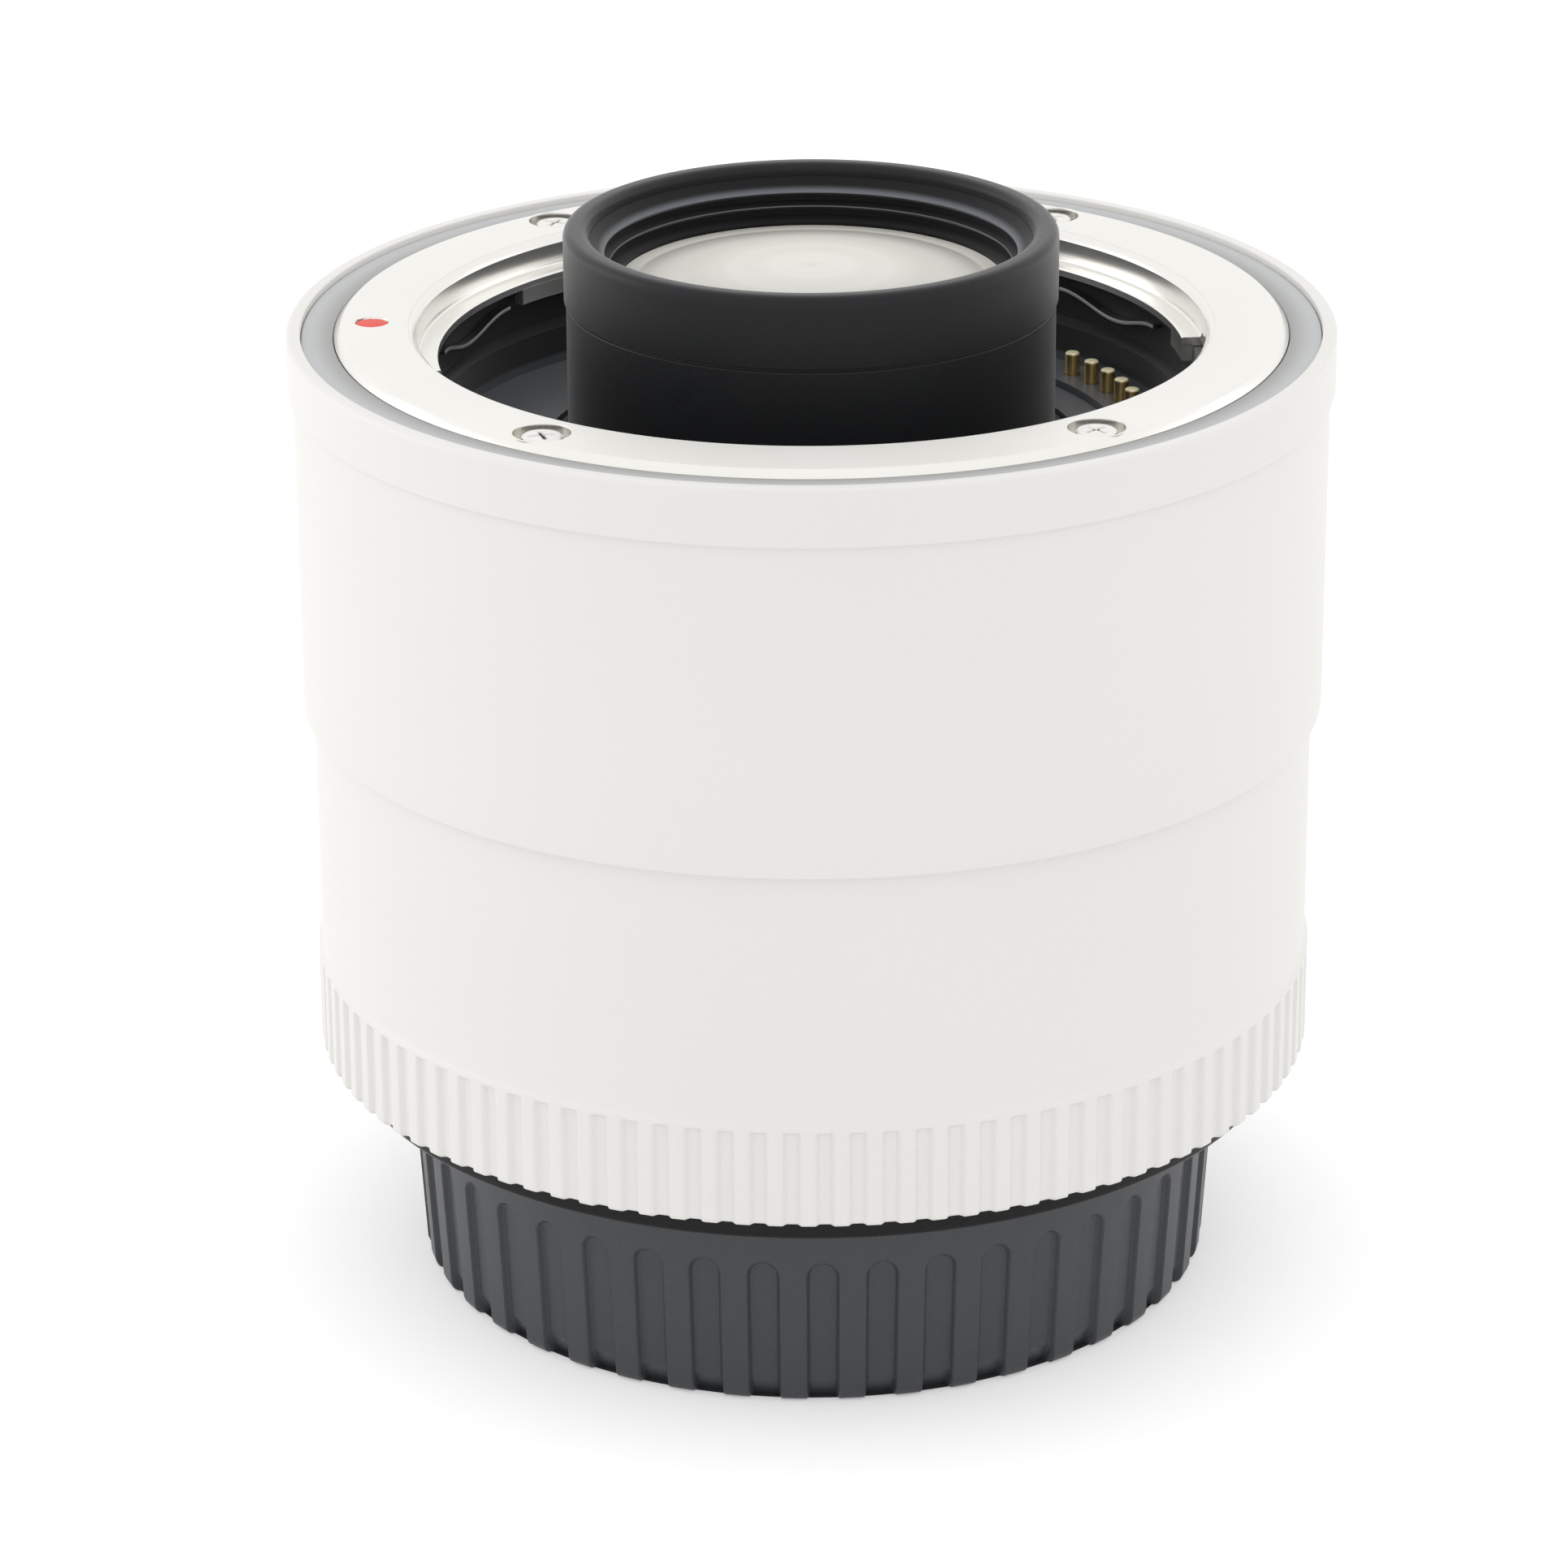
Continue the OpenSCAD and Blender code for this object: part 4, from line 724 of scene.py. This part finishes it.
neck = np.stack(np.broadcast_arrays(arm[:, :1], path, arm[:, 1:]), axis=-1)
eye = eased([(LOCK_R + 0.02, ARM_Z, 0.05), (EYE_R, ARM_Z, 0.1), (EYE_R, ARM_TOP, 0.1),
             (LOCK_R + 0.02, ARM_TOP, 0.05)])
eye = ring_skin(moved(turned(eye, around(48)), *lock_place))
piece("release_lever_skin", [bar_skin(pad), bar_skin(neck), eye], "lens_release", "black_plastic",
      ["release_lever"])

# %% [markdown]
# Eleven gold-plated pins stand in the floor of the throat. Each slides on its own, so each is a piece
# of its own that rides on its own body, all turned from one outline.

# %% Contact pins
PINS_AT, PIN_START, PIN_PITCH, PIN_COUNT = 22.9, 34.8, 5.8, 11
PIN_R, SHOULDER_R, SHOULDER_Z, SHOULDER_TOP, TAIL_R, TAIL_Z = 0.52, 0.78, 57.5, 58.3, 0.35, 55.6
pin = np.array([(0, PIN_TOP), (PIN_R - 0.14, PIN_TOP), (PIN_R - 0.1, PIN_TOP - 0.005),
                (PIN_R - 0.05, PIN_TOP - 0.04), (PIN_R - 0.02, PIN_TOP - 0.09),
                (PIN_R - 0.005, PIN_TOP - 0.16), (PIN_R, PIN_TOP - 0.26), (PIN_R, SHOULDER_TOP),
                (SHOULDER_R, SHOULDER_TOP), (SHOULDER_R, SHOULDER_Z), (TAIL_R, SHOULDER_Z),
                (TAIL_R, TAIL_Z), (0, TAIL_Z)])
pin_places = [polar(PINS_AT, math.radians(PIN_START - i * PIN_PITCH)) for i in range(PIN_COUNT)]
for i, place in enumerate(pin_places, 1):
    piece(f"contact_pin_{i}_skin", [plug_skin(moved(turned(pin, around(40)), *place))], f"contact_{i}",
          "gold_plate", [f"contact_pin_{i}"])

# %% [markdown]
# Behind each pin, and round the lock pin, a coil spring pushes back. A coil is a round section carried
# along a helix: a turn about the axis with a height that grows evenly with the angle. Each spring
# stands on its lower end.

# %% Coil springs
def coil(r, wire, low, high, turns):
    """Points ((r + w cos b) cos a, (r + w cos b) sin a, h(a) + w sin b) for a wire of radius w."""
    a = np.linspace(0, TURN * turns, 20 * turns + 1)
    b = around(8)[:, None]
    rho = r + wire * np.cos(b)
    height = low + wire + (high - low - 2 * wire) * a / a[-1]
    return np.stack([rho * np.cos(a), rho * np.sin(a), height + wire * np.sin(b)], axis=-1)


def spring(name, shape, place, slot, stands_for):
    """A coil at its place, riding on the converter, with a mesh of its own."""
    made = piece(name, [bar_skin(moved(shape, *place))], "converter", slot, [stands_for])
    place[0] * MM
    place[1] * MM
    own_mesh(made)


SEAT_Z, PRESS, PIN_COIL_R, PIN_WIRE = 53.3, 1.0, 0.575, 0.11
shape = coil(PIN_COIL_R, PIN_WIRE, SEAT_Z, SHOULDER_Z, 8)
for i, place in enumerate(pin_places, 1):
    spring(f"contact_spring_{i}", shape, place, "gold_plate", "contact_springs")
WEB_Z, RELEASE, LOCK_COIL_R, LOCK_WIRE = 52.5, 2.5, 1.55, 0.25
spring("lock_pin_coil", coil(LOCK_COIL_R, LOCK_WIRE, WEB_Z, ARM_Z, 6), lock_place, "spring_steel",
       "lock_pin_spring")

# %% [markdown]
# The lens tube, its collar and the retaining ring inside it are black turnings. The collar's lip is
# nearly a full round. It takes the longest highlight in the picture, so its curve has many steps.

# %% Lens tube, collar, retainer and front glass
COLLAR_R, COLLAR_Z, TUBE_R, TUBE_Z, TUBE_TOP = 16.9, 70.3, 16.75, 57.6, 70.12
TUBE_FOOT_R, SPIGOT_R, SPIGOT_TOP, INNER_BORE = 18.1, 15.1, 71.4, 12.05
SHELF_IN, SHELF_Z, SHELF_TOP = 11.2, 62.95, 64.8
GLASS_BORE = GLASS_R + FIT
collar = eased([(COLLAR_IN, COLLAR_Z, 0.08), (COLLAR_R, COLLAR_Z, 0.12), (COLLAR_R, COLLAR_TOP, 0.86),
                (COLLAR_IN, COLLAR_TOP, 0.86)], steps=12)
ring_piece("front_collar_skin", collar, 288, "black_anodised", "front_collar")

tube = eased([(INNER_BORE, TUBE_Z, 0.05), (TUBE_FOOT_R, TUBE_Z, 0.05), (TUBE_FOOT_R, FLOOR_Z, 0.1),
              (TUBE_R, FLOOR_Z, 0.05), (TUBE_R, TUBE_TOP, 0.12), (SPIGOT_R, TUBE_TOP, 0.03),
              (SPIGOT_R, SPIGOT_TOP, 0.03), (GLASS_BORE, SPIGOT_TOP, 0.03), (GLASS_BORE, SHELF_TOP, 0.05),
              (SHELF_IN, SHELF_TOP, 0.1), (SHELF_IN, SHELF_Z, 0.1), (INNER_BORE, SHELF_Z, 0.05)])
ring_piece("lens_tube_skin", tube, 288, "black_anodised", "front_lens_tube")

HOLD_IN, HOLD_Z, HOLD_TOP, NOTCH = GLASS_R - 0.1, SPIGOT_TOP + FIT, 74.42, 0.4
retainer = eased([(HOLD_IN, HOLD_Z, 0.03), (SPIGOT_R, HOLD_Z, 0.05), (SPIGOT_R, HOLD_TOP, 0.02),
                  (LEDGE_R, LEDGE_Z, 0.08), (LEDGE_R + NOTCH, LEDGE_Z - 0.3, 0.04),
                  (LEDGE_R + NOTCH, LEDGE_Z - 0.6, 0.04), (EDGE_R, EDGE_Z, 0.06),
                  (EDGE_R + NOTCH, EDGE_Z - 0.3, 0.04), (EDGE_R + NOTCH, EDGE_Z - 0.65, 0.04),
                  (HOLD_IN, HOLD_Z + 0.2, 0.04)])
ring_piece("front_retainer_skin", retainer, 288, "black_anodised", "front_retainer")


def cap_curve(r, z_edge, sag, count):
    """Radius and height of a spherical face that rises by sag from its edge at r to the axis."""
    ball = (r * r + sag * sag) / (2 * abs(sag))
    rho = np.linspace(0, r, count)
    drop = ball - np.sqrt(ball * ball - rho * rho)
    return np.stack([rho, z_edge + sag - math.copysign(1, sag) * drop], axis=1)


FACE_R, GLASS_TOP, GLASS_Z, FRONT_SAG, REAR_SAG = 12.0, SPIGOT_TOP, 68.3, 1.1, 1.6
front = cap_curve(FACE_R, GLASS_TOP, FRONT_SAG, 40)
rear = cap_curve(FACE_R, GLASS_Z, REAR_SAG, 40)[::-1]
edge = [(FACE_R + 0.1, GLASS_TOP - 0.01), (GLASS_R - 0.1, GLASS_TOP - 0.01), (GLASS_R, GLASS_TOP - 0.1),
        (GLASS_R, GLASS_Z + 0.1), (GLASS_R - 0.1, GLASS_Z), (FACE_R + 0.1, GLASS_Z)]
lens = np.concatenate([front, edge, rear])
piece("front_glass_skin", [plug_skin(turned(lens, around(192)))], "converter", "glass", ["lens_element_1"])

# %% [markdown]
# The seal and the dust cap close the object at its foot. The cap is moulded with upright flutes that
# end in a half round, for the fingers. A flute's edge is where a distance equals half the flute's width:
# the distance to its middle line along the straight part, and to the middle of the half round above.

# %% Seal and rear cap
SEAL_IN, SEAL_R, SEAL_Z = 31.95, 33.2, 14.89
seal = eased([(SEAL_IN, SEAL_Z, 0.05), (SEAL_R, SEAL_Z, 0.3), (SEAL_R, BARREL_Z, 0.1),
              (SEAL_IN, BARREL_Z, 0.05)])
ring_piece("seal_ring_skin", seal, 288, "black_rubber", "seal_ring")

CAP_R, CAP_H, CAP_SLOPE, CAP_BORE, CAP_FLOOR = 28.0, 14.05, math.tan(math.radians(3.5)), 27.15, 1.8
FLUTES, FLUTE_W, FLUTE_DEPTH, FLUTE_TOP = 44, 2.05, 0.4, 10.8
CAP_EDGE, FOOT_H, FOOT_IN = 0.7, 1.6, 0.8
pitch = TURN * CAP_R / FLUTES
side = FLUTE_W / 2
steps = np.array([0.05, 0.11, 0.18, 0.26])
half_row = np.concatenate([[0.0, 0.2, 0.45, 0.65], side - steps[::-1], [side], side + steps, [1.6]])
across = np.concatenate([[-pitch / 2], -half_row[:0:-1], half_row])
angles = (np.arange(FLUTES)[:, None] * pitch + across).ravel() / CAP_R
rise = np.concatenate([[CAP_EDGE], FOOT_H + np.array([-0.8, -0.5, -0.2, -0.05, 0.05, 0.2]),
                       [3.0, 5.0, 7.0, 8.6, 9.2], np.linspace(FLUTE_TOP - 1.3, FLUTE_TOP + 0.3, 25),
                       CAP_H - np.array([2.45, 1.45, 0.75, 0.35])])
curl = np.radians(np.linspace(-90, 0, 9))[:-1]
outline = np.concatenate([
    [(0, 0), (20.0, 0), (CAP_R - 2.0, 0), (CAP_R - 1.3, 0)],
    np.stack([CAP_R - CAP_EDGE * (1 - np.cos(curl)), CAP_EDGE * (1 + np.sin(curl))], axis=1),
    np.stack([CAP_R + CAP_SLOPE * rise, rise], axis=1),
    [(CAP_R + CAP_SLOPE * CAP_H - 0.06, CAP_H - 0.16), (CAP_R + CAP_SLOPE * CAP_H - 0.2, CAP_H - 0.04),
     (CAP_R + CAP_SLOPE * CAP_H - 0.4, CAP_H), (CAP_BORE, CAP_H), (CAP_BORE, CAP_FLOOR), (0, CAP_FLOOR)]])
r, z = outline[:, :1], outline[:, 1:]
u = np.tile(across, FLUTES)[None, :]
middle = FLUTE_TOP - side
edge = np.where(z < middle, np.abs(u), np.hypot(u, z - middle)) - side
floor_r = CAP_R - FLUTE_DEPTH + CAP_SLOPE * z - FOOT_IN * np.clip(1 - z / FOOT_H, 0, 1)
in_flute = (1 - smooth(edge, -0.18, 0.12)) * (r > CAP_BORE + 0.2)
deep = np.where(r > floor_r, r - floor_r, 0) * in_flute
points = turned(outline, angles)
points[..., :2] *= np.divide(r - deep, r, out=np.ones_like(deep), where=r > 0)[..., None]

TAB_IN, TAB_Z, TAB_TOP, TAB_DEG, FREE_TURN = 25.65, 12.45, 13.75, 24, 60
tab = eased([(TAB_IN, TAB_Z, 0.15), (CAP_BORE + 0.3, TAB_Z, 0.05), (CAP_BORE + 0.3, TAB_TOP, 0.05),
             (TAB_IN, TAB_TOP, 0.15)])
tabs = [bar(tab, a + FREE_TURN - TAB_DEG / 2, a + FREE_TURN + TAB_DEG / 2, 25) for a in LUG_CENTRES]
piece("rear_cap_skin", [plug_skin(points), *tabs], "rear_cap", "cap_plastic", ["rear_cap"])

# %% [markdown]
# The picture was taken in a white studio: bright paper behind and below, and soft light all round.
# A white world gives that, with a weak soft lamp on either side to turn the barrel's flanks paler.
# The floor is pale paper. It is lifted a little for the camera and for mirrors, so it looks white
# there but sheds no extra light, and the soft shadow round the foot stays.

# %% Floor and light
def seen_directly(at):
    """1 on rays from the camera, a mirror or a glass, and 0 on the rays that carry light."""
    looks = [at.node("ShaderNodeLightPath", {}, {}, out=kind)
             for kind in ("Is Camera Ray", "Is Glossy Ray", "Is Transmission Ray")]
    return looks[0].math("MINIMUM", looks[0] + looks[1] + looks[2], 1.0)


world = bpy.data.worlds.new("studio")
bpy.context.scene.world = world
world.use_nodes = True
sky = world.node_tree.nodes["Background"]
sky.inputs["Color"].default_value, sky.inputs["Strength"].default_value = (1, 1, 1, 1), 1.0

paper = bpy.data.materials.new("studio_paper")
paper.use_nodes = True
paper.node_tree.nodes.clear()
at = Wire(paper.node_tree, paper.node_tree.nodes.new("ShaderNodeTexCoord").outputs["Object"])
fibre = at.noise(1500.0, 3.0)
sheet = at.node("ShaderNodeBsdfPrincipled", {}, {
    "Base Color": fibre.blend((0.86, 0.86, 0.86), (0.9, 0.9, 0.9)), "Roughness": 0.9,
    "Specular IOR Level": 0.0})
glow = at.node("ShaderNodeEmission", {}, {"Strength": 0.31})
lifted = at.node("ShaderNodeAddShader", {}, {0: sheet, 1: glow})
shown = at.node("ShaderNodeMixShader", {}, {0: seen_directly(at), 1: sheet, 2: lifted})
at.tree.links.new(shown.socket, at.tree.nodes.new("ShaderNodeOutputMaterial").inputs["Surface"])

HALF_FLOOR = 3.0
corner = np.array([(-1, -1, 0), (1, -1, 0), (1, 1, 0), (-1, 1, 0)]) * HALF_FLOOR
mesh = bpy.data.meshes.new("floor")
mesh.from_pydata((corner - (0, 0, 0.00005)).tolist(), [], [(0, 1, 2, 3)])
mesh.materials.append(paper)
floor = bpy.data.objects.new("floor", mesh)
bpy.context.scene.collection.objects.link(floor)


def lamp(name, place, size, power):
    """A square soft lamp that faces the middle of the object."""
    light = bpy.data.lights.new(name, "AREA")
    light.size, light.energy = size, power
    made = bpy.data.objects.new(name, light)
    made.location = place
    target = np.array((0, 0, 0.045)) - np.array(place)
    made.rotation_euler = mathutils.Vector(target).to_track_quat("-Z", "Y").to_euler()
    bpy.context.scene.collection.objects.link(made)


lamp("left_soft", (-0.87, 0.23, 0.3), 0.6, 1.2)
lamp("right_soft", (0.87, 0.3, 0.3), 0.6, 0.4)
print("floor, world and lamps ready")

# %% [markdown]
# The camera stands where the picture was taken from: about 0.42 m away and 22 degrees up, with a long
# lens. It looks a little left of the axis, leans by a fraction of a degree and is swung round the axis
# by about one degree.

# %% Camera
ELEVATION, YAW, LEAN, SWING = (math.radians(d) for d in (21.808, 0.276, -0.182, -1.2))
DISTANCE, AIM_Z, FOCAL_PX, PHOTO_PX = 419.99, 34.332, 7331.3, 1932
ahead = np.array([0, math.cos(ELEVATION), -math.sin(ELEVATION)])
right = np.array([1.0, 0, 0])
place = np.array([0, 0, AIM_Z]) - ahead * DISTANCE
up = np.cross(right, ahead)


def turned_pair(first, second, angle):
    """Two axes turned by an angle in their own plane, from the first towards the second."""
    c, s = math.cos(angle), math.sin(angle)
    return first * c + second * s, second * c - first * s


right, ahead = turned_pair(right, ahead, YAW)
right, up = turned_pair(right, up, LEAN)
swing = np.array([[math.cos(SWING), -math.sin(SWING), 0],
                  [math.sin(SWING), math.cos(SWING), 0], [0, 0, 1]])
axes = swing @ np.stack([right, up, -ahead], axis=1)
camera = bpy.data.objects.new("camera", bpy.data.cameras.new("camera"))
camera.data.sensor_width = 36
camera.data.lens = 36 * FOCAL_PX / PHOTO_PX
camera.data.clip_start = 0.01
camera.rotation_euler = mathutils.Matrix(axes.tolist()).to_euler()
camera.location = swing @ place * MM
bpy.context.scene.collection.objects.link(camera)
bpy.context.scene.camera = camera
bpy.context.scene.view_settings.view_transform = "Standard"
print("camera at", [round(v, 4) for v in camera.location], "lens", round(camera.data.lens, 1))
